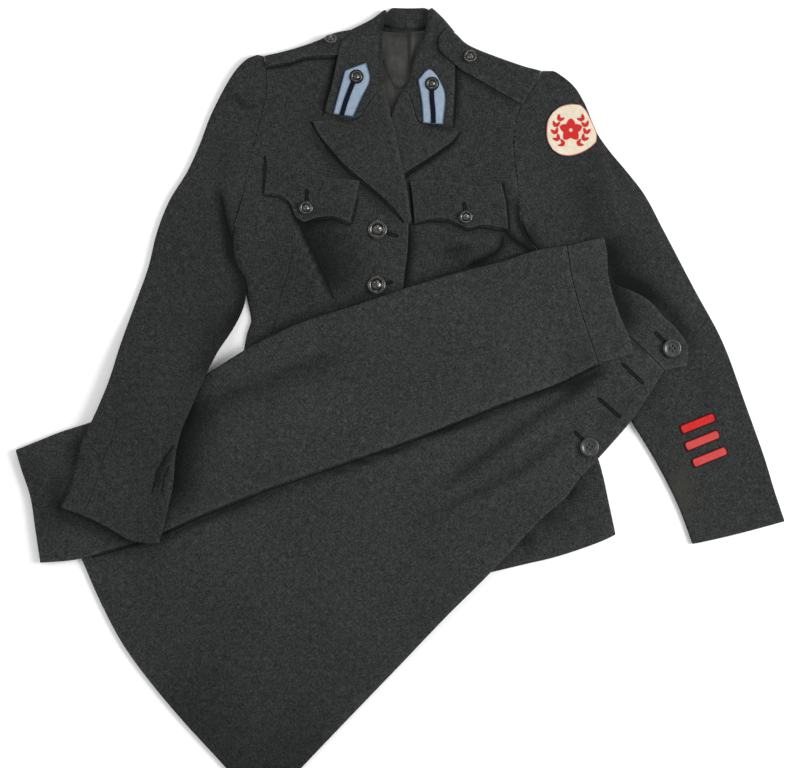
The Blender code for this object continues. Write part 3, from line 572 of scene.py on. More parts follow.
# Painted shade on the left front: darker colour in its folds, under the flap, lapel, strap, collar and closure
# edges, and along the skirt.
LEFT_FRONT_PAINTED_SHADE = (
    (((503, 234), (503, 244), (497, 253), (485, 259), (468, 266)), 0.9, 3.5, 5),
    (((504, 227), (511, 236), (519, 243), (530, 250), (542, 257)), 0.9, 4, 4),
    (((440, 249), (456, 250), (474, 246)), 0.5, 6, 8),
    (((500, 268), (524, 259), (546, 263)), 0.6, 6, 6),
    (((519, 190), (518, 212), (524, 234), (542, 256)), 0.9, 5, 4.5),
    (((502.5, 178), (505, 196), (508.5, 212), (510, 232)), 0.4, 2.5, 3),
    (((412, 227), (428, 222), (447, 222), (461, 228), (467, 231), (480, 228), (510, 233)), 0.5, 3.5, 4),
    (((410, 222), (410, 240), (409, 256), (406.5, 272), (404.5, 292)), 0.9, 6, 4),
    (((410, 182), (411, 200), (413.5, 224)), 0.8, 3, 3),
    (((462, 131), (454, 142), (441, 153), (426, 163), (412, 171), (396, 185)), 0.85, 3.5, 5),
    (((457, 62), (457, 90), (455, 128)), 0.7, 4, 3),
    (((456, 68), (475, 81), (490, 89), (505, 98), (522, 108)), 0.6, 2.5, 3.5),
    (((402, 287), (460, 270), (500, 260)), 0.45, 7, 4),
    (((598, 466), (578, 486), (560, 508), (540, 530), (505, 566)), 0.6, 5, 5),
    (((572, 482), (569, 496), (562, 516)), 0.5, 3, 4),
)
# Painted shadows on the fronts: dark lines along the edges of flaps, lapels, straps, collar and closure, and
# in the crease.
RIGHT_FRONT_SHADOWS = (
    ((264.5, 157), (264, 172), (262.5, 195)),
    ((262.5, 195), (279, 197), (288.5, 204), (295, 219), (303, 224)),
    ((303, 224), (312, 221.5), (333, 219.5), (349, 225.5), (352, 224), (358, 200)),
    ((311, 122), (328, 150), (348, 172), (379, 197.5), (403, 222)),
    ((266, 69), (290, 64.5), (305, 59.5), (337, 58)),
    ((337, 56), (332, 76), (324, 105), (323, 114)),
    ((299, 222), (304, 234), (309, 244), (315, 256), (327, 281), (333, 298)),
)
LEFT_FRONT_SHADOWS = (
    ((413, 225), (428, 221.5), (447, 221.5), (461, 227.5), (467, 230.5), (480, 227.5), (510, 232)),
    ((510, 232), (507, 205), (503, 184)),
    ((504, 229), (510, 237), (518, 243), (528, 249), (540, 256)),
    ((503, 237), (501, 247), (494, 254), (482, 260), (468, 266)),
    ((409.5, 182), (411.5, 200), (413, 225)),
    ((409.5, 225), (409.5, 240), (408.5, 256), (406.5, 272), (404.5, 292)),
    ((461, 132), (453.5, 143), (426, 162), (396, 184)),
    ((456, 66), (456.5, 90), (454, 127)),
)
DART = ((292.5, 246), (291, 260.7), (286.4, 277.8), (280.3, 297.4), (276.6, 317), (271.3, 335))


def closure_rise(x, y):
    """How far the right front climbs over the left lapel and then over the left front."""
    covered = np.where(y < 222, 396 - 0.373 * (y - 104), 352)
    height = 3.9 * smooth((y - 72) / 48) - 2.0 * smooth((y - 228) / 40)
    return height * smooth((x - covered + 54) / 40)


def past_fold(x, y):
    """How far a place lies below the straight line of the skirt's fold."""
    return FOLD_DOWN[0] * (x - FOLD_END[0]) + FOLD_DOWN[1] * (y - FOLD_END[1])


def above_skirt(x, y):
    """1 where the jacket shows above the skirt, falling to 0 where the skirt presses it flat."""
    return smooth((6 - past_fold(x, y)) / 22)


def right_front_top(x, y):
    raised = folds(x, y, RIGHT_FRONT_FOLDS) * above_skirt(x, y)
    return FRONT_TOP + neck_lift(y) + closure_rise(x, y) + unevenness(x, y) + raised


def left_front_top(x, y):
    raised = folds(x, y, LEFT_FRONT_FOLDS) * above_skirt(x, y)
    return FRONT_TOP + neck_lift(y) + unevenness(x, y) + raised


def side_turn(plan, columns):
    """The front turns down to the back along the side below the armhole."""
    inset = np.interp(columns, (0, .012, .035), (2.6, 0.9, 0))
    return inset[None, :] * smooth((plan[..., 1] - 215) / 30)


def front_rows():
    """Close together as far down as the skirt, and wide apart below it."""
    shown = np.linspace(0.006, 0.56, 104)
    covered = np.linspace(0.58, 0.997, 12)
    return np.concatenate([[0, 0.003], shown, covered, [1]])


def jacket_fronts():
    rows = front_rows()
    columns = np.unique(np.concatenate([steps(50), (0.012, 0.035)]))
    plan = patch(RIGHT_SHOULDER, RIGHT_HEM, RIGHT_ARMHOLE + RIGHT_SIDE, RIGHT_EDGE, rows, columns)
    heights = right_front_top(plan[..., 0], plan[..., 1]) - side_turn(plan, columns)
    under = ["jacket_back", "back_lining"]
    # Each front's colour carries painted shade and painted shadow lines.
    darted = wool("charcoal_serge_darted_painted_shadows", seam=DART, shadows=RIGHT_FRONT_SHADOWS)
    marks = {"painted_shade": painted_shade_along(plan[..., 0], plan[..., 1], RIGHT_FRONT_PAINTED_SHADE)}
    cloth("front_right", plan, heights, WOOL, darted, grain=4, rests_on=under, marks=marks)
    columns = 1 - columns[::-1]
    plan = patch(LEFT_SHOULDER, LEFT_HEM, LEFT_EDGE, LEFT_ARMHOLE + LEFT_SIDE, rows, columns)
    heights = left_front_top(plan[..., 0], plan[..., 1]) - side_turn(plan, 1 - columns)
    marks = {"painted_shade": painted_shade_along(plan[..., 0], plan[..., 1], LEFT_FRONT_PAINTED_SHADE)}
    lapped = wool("charcoal_serge_lapped_painted_shadows", shadows=LEFT_FRONT_SHADOWS)
    cloth("front_left", plan, heights, WOOL, lapped, grain=-4, rests_on=under, marks=marks)


jacket_fronts()


# Lapels: pointed and turned back from the roll, each with its facing outside. They end at the
# break, just above the upper front button.
LAYER_ABOVE = 2.3
ROLL = 1.7
RIGHT_ROLL = (
    (412, 222), (410, 210), (408, 195), (405, 178), (402, 165), (398, 145), (395, 130),
    (391, 118), (390, 110), (387, 97), (385, 89),
)
RIGHT_LAPEL_EDGE = (
    (404.5, 222), (398, 213), (380, 195), (360, 178), (350, 170), (340, 160), (330, 148), (316, 130),
    (312, 121),
)
RIGHT_GORGE = ((312, 121), (336, 119.5), (358.6, 118.8), (368.3, 104.5), (380.3, 90), (384.8, 88))
LEFT_ROLL = ((404, 90.5), (400, 95), (396, 104), (390, 119), (377, 152), (364, 187), (354.5, 213))
LEFT_LAPEL_EDGE = (
    (459, 131), (453, 140), (440, 150), (425, 160), (412, 168), (395, 182), (378, 198), (364, 213),
)
LEFT_GORGE = (
    (459, 131), (452, 128), (436, 125.5), (418.5, 122.3), (413.5, 107.8), (406.5, 91.8), (404, 90),
)
# Painted shade on the lapels: darker colour below the collar's ends.
LAPEL_PAINTED_SHADE = (
    (((322, 114), (340, 119), (355, 120.5)), 0.8, 3, 3),
    (((456, 129.5), (440, 127), (423, 124.5)), 0.8, 3, 3),
)


def on_right_front(x, y):
    """The face of a layer that lies on the right front."""
    return right_front_top(x, y) + LAYER_ABOVE


def on_left_front(x, y):
    return left_front_top(x, y) + LAYER_ABOVE


def one_sided(count, edge):
    """Fractions across a panel, with none close to its last edge."""
    return np.append(steps(count, edge)[:-2], 1)


def rolled(name, plan, tops, lips, tilts, outwards, dark, **facts):
    """A collar or lapel: its face, then the roll at the last row, then the turned-in lip."""
    roll = plan[-1]
    inward = plan[-2] - roll
    inward /= np.linalg.norm(inward, axis=1)[:, None]
    middle = tops / 2
    levels = [middle[row] for row in range(len(plan) - 1)]
    places = []
    for row in range(len(plan) - 1):
        least = (ROLL + 0.35 * (len(plan) - 1 - row)) / SQUARE
        short = np.maximum(least - np.linalg.norm(plan[row] - roll, axis=1), 0)
        places.append(plan[row] + inward * short[:, None])
    for angle in np.linspace(0, 180, 8):
        turned = np.radians(angle)
        places.append(roll + inward * ROLL * (1 - np.sin(turned)) / SQUARE)
        levels.append(middle[-1] - ROLL * (1 - np.cos(turned)))
    places.append(roll + inward * lips[:, None])
    levels.append(middle[-1] - 2 * ROLL)
    places = np.array(places)
    levels = np.array(levels)
    halves = np.concatenate([middle[:-1], np.repeat(middle[-1:], 9, axis=0)])
    tilt = np.radians(tilts)
    places = places + (levels * np.sin(tilt) / SQUARE)[..., None] * outwards
    heights = halves + levels * np.cos(tilt)
    # Painted shade of the piece's hollows and gaps, from the table given as dark.
    marks = {"painted_shade": painted_shade_along(places[..., 0], places[..., 1], dark)}
    drop = 0.35 * np.cos(tilt)
    return cloth(name, places, heights, WOOL, serge, drop=drop, marks=marks, **facts)


def lapels():
    rows = one_sided(18, 0.02)
    columns = steps(34)
    bottom = (RIGHT_LAPEL_EDGE[0], RIGHT_ROLL[0])
    right = patch(RIGHT_LAPEL_EDGE, RIGHT_ROLL, bottom, RIGHT_GORGE, rows, columns)
    bottom = (LEFT_LAPEL_EDGE[-1], LEFT_ROLL[-1])
    left = patch(LEFT_LAPEL_EDGE, LEFT_ROLL, LEFT_GORGE, bottom, rows, columns)
    still = np.zeros(len(columns))
    nowhere = np.zeros((len(columns), 2))
    lips = np.full(len(columns), 2.0)
    for side, plan, ground, grain in (
        ("right", right, on_right_front, 38),
        ("left", left, on_left_front, -32),
    ):
        tops = ground(plan[..., 0], plan[..., 1])
        rolled(
            f"lapel_{side}", plan, tops, lips, still, nowhere, LAPEL_PAINTED_SHADE,
            grain=grain, rests_on=[f"front_{side}"],
        )


lapels()


# Collar: one band of serge that falls over both fronts and stands round the back of the neck. It
# meets the lapels at the gorge seams.
COLLAR_RIGHT_EDGE = ((325, 112), (326, 105), (330, 92), (334, 75), (338, 56), (342, 41), (352, 34))
COLLAR_RIGHT_ROLL = ((384, 86), (382, 70), (382, 55), (383, 30), (387, 12))
COLLAR_RIGHT_END = ((325, 112), (340, 117), (358.3, 118.3), (367.9, 104), (380, 89.5), (384.4, 87.4))
COLLAR_RIGHT_TURN = ((352, 34), (372, 23), (387, 12))
COLLAR_BACK_EDGE = ((352, 34), (368, 46), (399, 52), (436, 46), (452, 34))
COLLAR_BACK_ROLL = ((387, 12), (392, 7), (398, 7.2), (420, 7.2), (425, 7), (429, 9.5))
COLLAR_LEFT_TURN = ((452, 34), (441, 21), (429, 9.5))
COLLAR_LEFT_EDGE = ((452, 34), (455, 52), (455, 67), (455, 80), (454, 95), (452, 125))
COLLAR_LEFT_ROLL = (
    (429, 9.5), (427, 16), (424, 33), (416, 50), (413, 60), (409, 75), (408, 83), (404, 88),
)
COLLAR_LEFT_END = ((452, 125), (436, 123.8), (418.9, 121.7), (414, 107.6), (407, 91.6), (404, 89.4))
# Painted shade on the collar: darker colour in the stand's folds and along the roll and strap.
COLLAR_PAINTED_SHADE = (
    (((389, 12), (390, 24), (389, 33)), 0.5, 4, 6),
    (((425, 12), (422, 24), (416, 33)), 0.5, 5, 4),
    (((387, 12), (384, 24), (384, 44), (384, 70)), 0.45, 2, 5),
    (((428, 12), (425, 30), (417, 48), (411, 64), (408, 84)), 0.4, 4, 2),
    (((449, 60), (440, 53), (437, 44), (438, 32)), 0.6, 3, 3),
    (((392, 14), (396, 24), (394, 34)), 0.35, 9, 7),
)
RIGHT_OUTWARD = (-0.53, -0.85)
LEFT_OUTWARD = (0.736, -0.677)


def right_collar_top(x, y):
    """The fall also climbs over the end of the shoulder strap."""
    over_strap = 2.1 * (1 - smooth((np.hypot(x - 341, y - 44) - 16) / 30))
    return on_right_front(x, y) + over_strap


def collar():
    """One band: down the right front, round under the back of the neck, down the left front."""
    rows = np.array((0, .02, .08, .16, .24, .32, .4, .48, .56, .64, .72, .8, .88, 1))
    front = one_sided(20, 0.012)
    back = np.linspace(0, 1, 15)
    right = patch(
        COLLAR_RIGHT_EDGE, COLLAR_RIGHT_ROLL, COLLAR_RIGHT_END, COLLAR_RIGHT_TURN, rows, front,
    )
    behind = patch(
        COLLAR_BACK_EDGE, COLLAR_BACK_ROLL, COLLAR_RIGHT_TURN, COLLAR_LEFT_TURN, rows, back,
    )
    left = patch(
        COLLAR_LEFT_EDGE, COLLAR_LEFT_ROLL, COLLAR_LEFT_TURN, COLLAR_LEFT_END, rows, 1 - front[::-1],
    )
    turn = 7
    right_turn = np.repeat(right[:, -1:], turn, axis=1)
    left_turn = np.repeat(left[:, :1], turn, axis=1)
    plan = np.concatenate([right, right_turn, behind, left_turn, left], axis=1)
    fronts = len(front)
    turning = np.linspace(0, 180, turn + 2)[1:-1]
    tilts = np.concatenate([
        np.zeros(fronts), turning, np.full(len(back), 180), turning[::-1], np.zeros(fronts),
    ])
    outwards = np.zeros((len(tilts), 2))
    outwards[fronts:fronts + turn] = RIGHT_OUTWARD
    outwards[-fronts - turn:-fronts] = LEFT_OUTWARD
    side = np.concatenate([
        np.ones(fronts + turn), np.interp(back, (0, 1), (1, 0)), np.zeros(fronts + turn),
    ])
    x, y = plan[..., 0], plan[..., 1]
    tops = side * right_collar_top(x, y) + (1 - side) * on_left_front(x, y)
    stand = 12 + 10 * smooth(np.minimum(back, 1 - back) * 5)
    lips = np.concatenate([
        np.linspace(4, 9, fronts), np.full(turn, 11.0), stand,
        np.full(turn, 11.0), np.linspace(9, 4, fronts),
    ])
    under = ["front_right", "front_left", "jacket_back"]
    rolled("collar", plan, tops, lips, tilts, outwards, COLLAR_PAINTED_SHADE, grain=10, rests_on=under)


collar()


# Shoulder straps: narrow doubled strips of serge sewn into the armhole seams and buttoned down. The
# right one runs under the collar's fall, and the left one lies over it.
RIGHT_STRAP = {
    "lower": ((354, 53), (340, 55), (312, 56), (305, 57), (290, 62), (278, 64), (265.5, 66.5)),
    "upper": (
        (354, 28.5), (343, 30), (333, 32.5), (319, 39), (303, 45), (295, 47.5), (284, 50.5),
        (264.5, 55.8),
    ),
}
LEFT_STRAP = {
    "lower": ((449, 59), (460, 69), (476, 78), (490, 86), (505, 95), (523, 105)),
    "upper": ((447, 28), (456, 34), (465, 42), (477, 48), (495, 55), (519, 63.5), (541, 70.8)),
    "tip": ((449, 59), (440, 51), (439, 38), (447, 28)),
    "end": ((523, 105), (530, 91), (536.5, 83), (541, 70.8)),
}


def left_strap_top(x, y):
    """The strap also climbs over the collar's fall."""
    return on_left_front(x, y) + 2.0 * (1 - smooth((x - 460) / 30))


def shoulder_straps():
    rows = np.array((0, .03, .12, .24, .36, .48, .6, .7, .78, .86, .93, 1))
    drops = np.interp(rows, (0, .7, .86, .93, 1), (0, 0, .12, .36, 1))
    columns = steps(34)
    tip = (RIGHT_STRAP["lower"][0], RIGHT_STRAP["upper"][0])
    end = (RIGHT_STRAP["lower"][-1], RIGHT_STRAP["upper"][-1])
    plan = patch(RIGHT_STRAP["lower"], RIGHT_STRAP["upper"], tip, end, rows, columns)
    tops = on_right_front(plan[..., 0], plan[..., 1])
    tops -= np.outer(drops, tops[-1] / 2 * smooth((plan[-1, :, 0] - 266) / 16))
    cloth("strap_right", plan, tops, WOOL, serge, grain=-15, rests_on=["front_right"])
    plan = patch(
        LEFT_STRAP["lower"][::-1], LEFT_STRAP["upper"][::-1], LEFT_STRAP["end"], LEFT_STRAP["tip"],
        rows, columns,
    )
    tops = left_strap_top(plan[..., 0], plan[..., 1])
    away = smooth((plan[-1, :, 0] - 456) / 16) * smooth((538 - plan[-1, :, 0]) / 16)
    tops -= np.outer(drops, tops[-1] / 2 * away)
    cloth("strap_left", plan, tops, WOOL, serge, grain=22, rests_on=["front_left", "collar"])


shoulder_straps()


# Pocket flaps: scalloped flaps of the same serge, sewn to the chest along their tops, with their
# points buttoned to the fronts.
RIGHT_FLAP = {
    "top": ((266, 155), (290, 163), (305, 166), (315, 172), (330, 178), (345, 179), (360, 181)),
    "bottom": (
        (264.5, 193), (280, 195), (290, 203), (297, 218), (304, 222), (312, 219), (333, 217),
        (350, 223),
    ),
    "left": ((266, 155), (267, 165), (264.5, 193)),
    "right": ((360, 181), (356, 198), (350, 223)),
}
LEFT_FLAP = {
    "top": ((410, 181), (440, 180), (460, 183), (475, 186), (501, 183)),
    "bottom": ((414.5, 223), (428, 219), (447, 219), (461, 225), (467, 228), (480, 225), (508, 229)),
    "left": ((410, 181), (412, 195), (414.5, 223)),
    "right": ((501, 183), (505, 198), (508, 229)),
}


def laid_on(name, outline, ground, lift, wall, finish, rows, columns, **facts):
    """A flap, tab or badge whose face is this much above the ground that it lies on."""
    plan = patch(outline["top"], outline["bottom"], outline["left"], outline["right"], rows, columns)
    return cloth(name, plan, ground(plan[..., 0], plan[..., 1]) + lift, wall, finish, **facts)


def pocket_flaps():
    rows = steps(14, 0.02)
    columns = steps(30)
    laid_on(
        "pocket_flap_right", RIGHT_FLAP, right_front_top, LAYER_ABOVE, WOOL, serge, rows, columns,
        grain=-14, rests_on=["front_right"],
    )
    laid_on(
        "pocket_flap_left", LEFT_FLAP, left_front_top, LAYER_ABOVE, WOOL, serge, rows, columns,
        grain=3, rests_on=["front_left"],
    )


pocket_flaps()


# Collar tabs: pointed tabs of pale blue felt with a dark blue binding, one on each side of the
# collar, with a navy stripe below the button that holds them.
FELT = 1.2
ON_TOP = 0.4
RIGHT_TAB = {
    "top": ((345, 71), (355, 67), (366, 63)),
    "bottom": ((333, 114), (353, 117)),
    "left": ((345, 71), (341, 85), (333, 114)),
    "right": ((366, 63), (370, 79), (362, 97), (353, 117)),
}
LEFT_TAB = {
    "top": ((418, 80), (430, 69), (437, 76)),
    "bottom": ((423, 123), (443, 124.5)),
    "left": ((418, 80), (422, 105), (423, 123)),
    "right": ((437, 76), (444, 90), (443, 124.5)),
}
RIBBON = 0.5
STRIPE_WIDE = 5
RIGHT_STRIPE = ((353.5, 82), (351, 88), (346, 101), (341.6, 115.6))
LEFT_STRIPE = ((431.5, 88), (432, 100), (433, 110), (433.5, 123.4))
RIGHT_EYELET = (356.5, 77)
LEFT_EYELET = (432, 84)
EYELET = (7.2, 4.6)
TAB_BLUE = (0.185, 0.240, 0.315, 1)
TAB_PALE = (0.275, 0.345, 0.425, 1)
NAVY = (0.004, 0.006, 0.013, 1)


def felt(name, dark, light, bound, binding=0.8, border=0.55):
    """Fibres of two shades, bound along the edge with a third; a lower border is a wider one."""
    paint = Paint(name, Roughness=0.95, Specular_IOR_Level=0.08, Sheen_Weight=0.03)
    at = paint.coordinates("UV")
    fibres = paint.noise(at, 900, 4, 0.7)
    mottle = paint.noise(at, 160, 3, 0.6)
    shade = 0.5 + 0.9 * (fibres - 0.5) + 0.7 * (mottle - 0.5)
    colour = paint.mix(shade.clear(0.1, 0.9), dark, light)
    rim = paint.attribute("edge").clear(border, border + 0.35) * binding
    paint.cover("Base Color", paint.mix(rim, colour, bound))
    paint.bump(fibres + mottle, 0.0006, 0.5)
    return paint.material


def strip(line, width):
    """The plan of a ribbon of this width, in squares, along a line."""
    middle = along(line, np.linspace(0, 1, 24))
    ahead = np.gradient(middle, axis=0)
    ahead /= np.linalg.norm(ahead, axis=1)[:, None]
    side = np.stack([ahead[:, 1], -ahead[:, 0]], axis=1)
    across = np.linspace(-0.5, 0.5, 6) * width
    return middle[:, None] - side[:, None] * across[None, :, None]


def loop(middle, outer, inner):
    """The plan of a round ribbon about a point."""
    angles = np.linspace(0, 2 * np.pi, 33)
    around = np.stack([np.cos(angles), np.sin(angles)], axis=1)
    return np.array(middle) + np.linspace(outer, inner, 4)[:, None, None] * around


def collar_tabs():
    blue = felt("tab_felt", TAB_BLUE, TAB_PALE, (0.05, 0.09, 0.17, 1))
    rows = steps(16, 0.02)
    columns = steps(8, 0.04)
    lift = FELT + ON_TOP
    navy = felt("navy_ribbon", NAVY, NAVY, NAVY)
    for side, outline, stripe, eyelet, ground in (
        ("right", RIGHT_TAB, RIGHT_STRIPE, RIGHT_EYELET, right_collar_top),
        ("left", LEFT_TAB, LEFT_STRIPE, LEFT_EYELET, on_left_front),
    ):
        plan = strip(stripe, STRIPE_WIDE)
        heights = ground(plan[..., 0], plan[..., 1]) + lift + RIBBON
        ribbon, _, _ = panel(
            f"tab_stripe_{side}", plan, heights, RIBBON, navy, "blue_felt", drop=0.1,
        )
        plan = loop(eyelet, *EYELET)
        heights = ground(plan[..., 0], plan[..., 1]) + lift + RIBBON / 2
        bound, _, _ = panel(
            f"tab_eyelet_{side}", plan, heights, RIBBON / 2, navy, "blue_felt", ring=True, drop=0,
        )
        laid_on(
            f"collar_tab_{side}", outline, ground, lift, FELT, blue, rows, columns,
            slot="blue_felt", rests_on=["collar"], trims=[ribbon, bound], drop=0.2,
        )


collar_tabs()


# Sleeves: two-piece sleeves lying flat, each a tube open at the armhole seam and at the cuff. The
# right one lies with its cuff on the folded skirt, and the left one on the table.
SLEEVE_TOP = 5.4
SKIRT_BED = 7.2
FOLD_OUTER = 3.8
FOLD_INNER = 1.8
SKIRT_TOP = 2 * FOLD_OUTER
SLEEVE_EDGE = ((0, .5), (.06, .68), (.22, .84), (.5, .95), (1, 1))
UNDERARM = 216
SEAM_GAP = 0.35
RIGHT_SLEEVE = {
    "cuff": ((61, 507), (85, 516), (115, 531), (128, 539), (150, 543), (160, 543)),
    "left": (
        (257, 54.4), (247, 58.4), (239, 65.4), (231, 76), (219, 97), (209, 118), (200, 142),
        (187.5, 170), (169, 200), (157, 230), (147.5, 268), (136, 300), (118.5, 350), (111, 375),
        (91.5, 422), (83, 440), (77, 465), (69, 492), (61, 507),
    ),
    "right": (
        (263.6, 55.7), (265.6, 68), (266, 80), (266, 95), (254, 140), (246, 172), (242.5, 195),
        (236.5, 215), (234.6, 225), (232.8, 240), (233, 252), (236.6, 266), (243.6, 278), (246, 294),
        (245.5, 300), (242.5, 311), (238, 321), (230.5, 334), (219, 351), (211, 366), (203, 382),
        (194, 403), (182, 431), (178, 445), (173, 490), (167, 515), (160, 543),
    ),
}
LEFT_SLEEVE = {
    "cuff": ((693, 544.5), (731, 536), (760, 528.5), (785.5, 521.5)),
    "left": (
        (541.6, 70.2), (536.5, 84.2), (529.5, 92.4), (518.6, 115), (514.6, 145), (517.6, 175),
        (520.6, 205), (522.6, 222), (528.6, 236), (537.6, 249), (563, 290), (588, 340), (612, 385), (632, 422),
        (654, 458), (667, 482), (679, 507), (693, 544.5),
    ),
    "right": (
        (554, 70.6), (565.8, 78), (575.8, 87.5), (583.5, 100), (599.5, 136), (609.5, 150), (625.5, 169),
        (643.5, 192), (664, 230), (695.5, 290), (721.5, 338), (746.5, 405), (755.5, 430), (766, 460),
        (775, 490), (785.5, 521.5),
    ),
}
RIGHT_SLEEVE_FOLDS = (
    (((229, 82), (238, 95), (248, 100), (262, 100)), 2.2, 14, 5, 1.5),
    (((218, 176), (214, 200), (214, 228), (222, 256)), 3.6, 8, 20, 1.6),
    (((200, 190), (188, 214), (180, 244)), 1.2, 12, 16),
    (((200, 262), (190, 296), (176, 330)), 2.4, 16, 18),
    (((160, 356), (146, 400), (132, 450)), 1.6, 16, 20),
    (((180, 438), (172, 462), (166, 496), (162, 520)), 2.2, 5, 7),
    (((166, 444), (156, 466), (148, 492)), 1.6, 3, 12, 1.5),
)
LEFT_SLEEVE_FOLDS = (
    (((597, 138), (603, 158), (610, 182), (615, 208)), 3.4, 5, 12, 1.5),
    (((548, 176), (560, 200), (574, 226)), 1.6, 12, 16),
    (((650, 226), (664, 270), (684, 320)), 2.4, 16, 22),
    (((560, 90), (572, 100), (590, 122)), 0.8, 10, 12),
    (((700, 330), (716, 390), (732, 440)), 1.4, 14, 12),
    (((690, 500), (720, 486), (752, 480)), 0.6, 10, 10),
)
# Painted shade on the sleeves: darker colour in their creases, beside the body's edges, at the elbow and cuff,
# and beside the band.
RIGHT_SLEEVE_PAINTED_SHADE = (
    (((220, 182), (223, 206), (229, 234), (240, 268)), 0.90, 4, 7),
    (((230, 226), (236, 256), (244, 280), (245, 300), (230, 328)), 0.85, 10, 10),
    (((240, 312), (222, 344), (202, 382)), 0.50, 8, 16),
    (((214, 270), (204, 306), (190, 340)), 0.22, 22, 20),
    (((234, 92), (239, 100), (247, 106), (260, 107)), 0.45, 3, 3),
    (((172, 448), (162, 468), (155, 492)), 0.85, 3.5, 2.5),
    (((232, 138), (226, 160), (218, 182)), 0.20, 10, 14),
)
LEFT_SLEEVE_PAINTED_SHADE = (
    (((584, 176), (590, 206), (594, 240)), 0.35, 14, 18),
    (((606, 146), (614, 166), (620, 186)), 0.30, 8, 3),
    (((604, 230), (611, 260), (622, 290), (640, 322)), 0.85, 24, 8),
    (((618, 282), (640, 288), (660, 302), (678, 322), (694, 350)), 0.65, 10, 9),
    (((526, 226), (534, 240), (546, 256)), 0.6, 6, 5),
    (((662, 376), (654, 400), (664, 430)), 0.20, 12, 12),
)
# Painted shadows: dark lines in the right cuff's crease and along the inner elbow.
RIGHT_SLEEVE_SHADOWS = (
    ((174, 446), (166, 457), (158, 471), (153, 492)),
    ((170, 466), (165, 478), (163, 492)),
    ((221, 196), (225, 216), (230, 236), (240, 262)),
)
SLEEVE_SEAM = ((118, 420), (112, 440), (105, 455), (97, 480), (93, 493), (84, 514))


def skirt_bed(x, y):
    """The ground the skirt lies on: the jacket's top, falling to the table past its side and hem."""
    past_side = -0.970 * (x - 252) - 0.243 * (y - 322)
    hem = np.interp(x, (100, 190, 260, 330, 400, 490, 614), (548, 570, 588, 596, 592, 571, 534))
    over_side = 1 - smooth((past_side - 8) / 54)
    over_hem = 1 - smooth((y - hem - 12) / 78)
    return SKIRT_BED * over_side * over_hem


def under_right_sleeve(x, y):
    """The right sleeve lies on the table at its elbow and on the skirt's flap at its cuff."""
    below = past_fold(x, y)
    raised = (SKIRT_TOP + 0.7) * smooth((below + 110) / 85)
    under_head = 0.9 * np.exp(-((x - 251) ** 2 + (y - 58) ** 2) / 90)
    return raised + skirt_bed(x + 8, y) * smooth((below + 60) / 45) + under_head


def under_left_sleeve(x, y):
    return 0.8 * np.exp(-((x - 534) ** 2 + (y - 91) ** 2) / 90)


def sleeve_rise(y):
    return SLEEVE_TOP + 0.65 * neck_lift(y)


def left_sleeve_top(x, y):
    return sleeve_rise(y) + unevenness(x, y) + folds(x, y, LEFT_SLEEVE_FOLDS)


def right_sleeve_top(x, y):
    return sleeve_rise(y) + unevenness(x, y) + folds(x, y, RIGHT_SLEEVE_FOLDS)


def square_to(line):
    """Unit steps to the right of a line that runs down the page, square to it at each point."""
    ahead = np.gradient(line, axis=0)
    ahead /= np.linalg.norm(ahead, axis=1)[:, None]
    return np.stack([ahead[:, 1], -ahead[:, 0]], axis=1)


def sleeve_plan(outline, armhole_side, front_edge, columns):
    """A sleeve's rows: down the armhole they meet the front's own points, a seam's gap away."""
    armhole = front_edge[front_edge[:, 1] < UNDERARM]
    outward = SEAM_GAP if armhole_side == "left" else -SEAM_GAP
    armhole = armhole + square_to(armhole) * outward
    line = along(outline[armhole_side], np.linspace(0, 1, 200))
    underarm = np.argmin(np.linalg.norm(line - armhole[-1], axis=1)) / 199
    below = underarm + (1 - underarm) * np.append(np.linspace(0, 1, 66)[1:-1], (0.994, 1))
    rows = np.concatenate([np.linspace(0, underarm, len(armhole)), below])
    seam = np.concatenate([armhole, along(outline[armhole_side], below)])
    other_side = "right" if armhole_side == "left" else "left"
    sides = {armhole_side: seam, other_side: along(outline[other_side], rows)}
    top = sides["left"][0] + columns[:, None] * (sides["right"][0] - sides["left"][0])
    return between(top, along(outline["cuff"], columns), sides["left"], sides["right"], rows, columns)


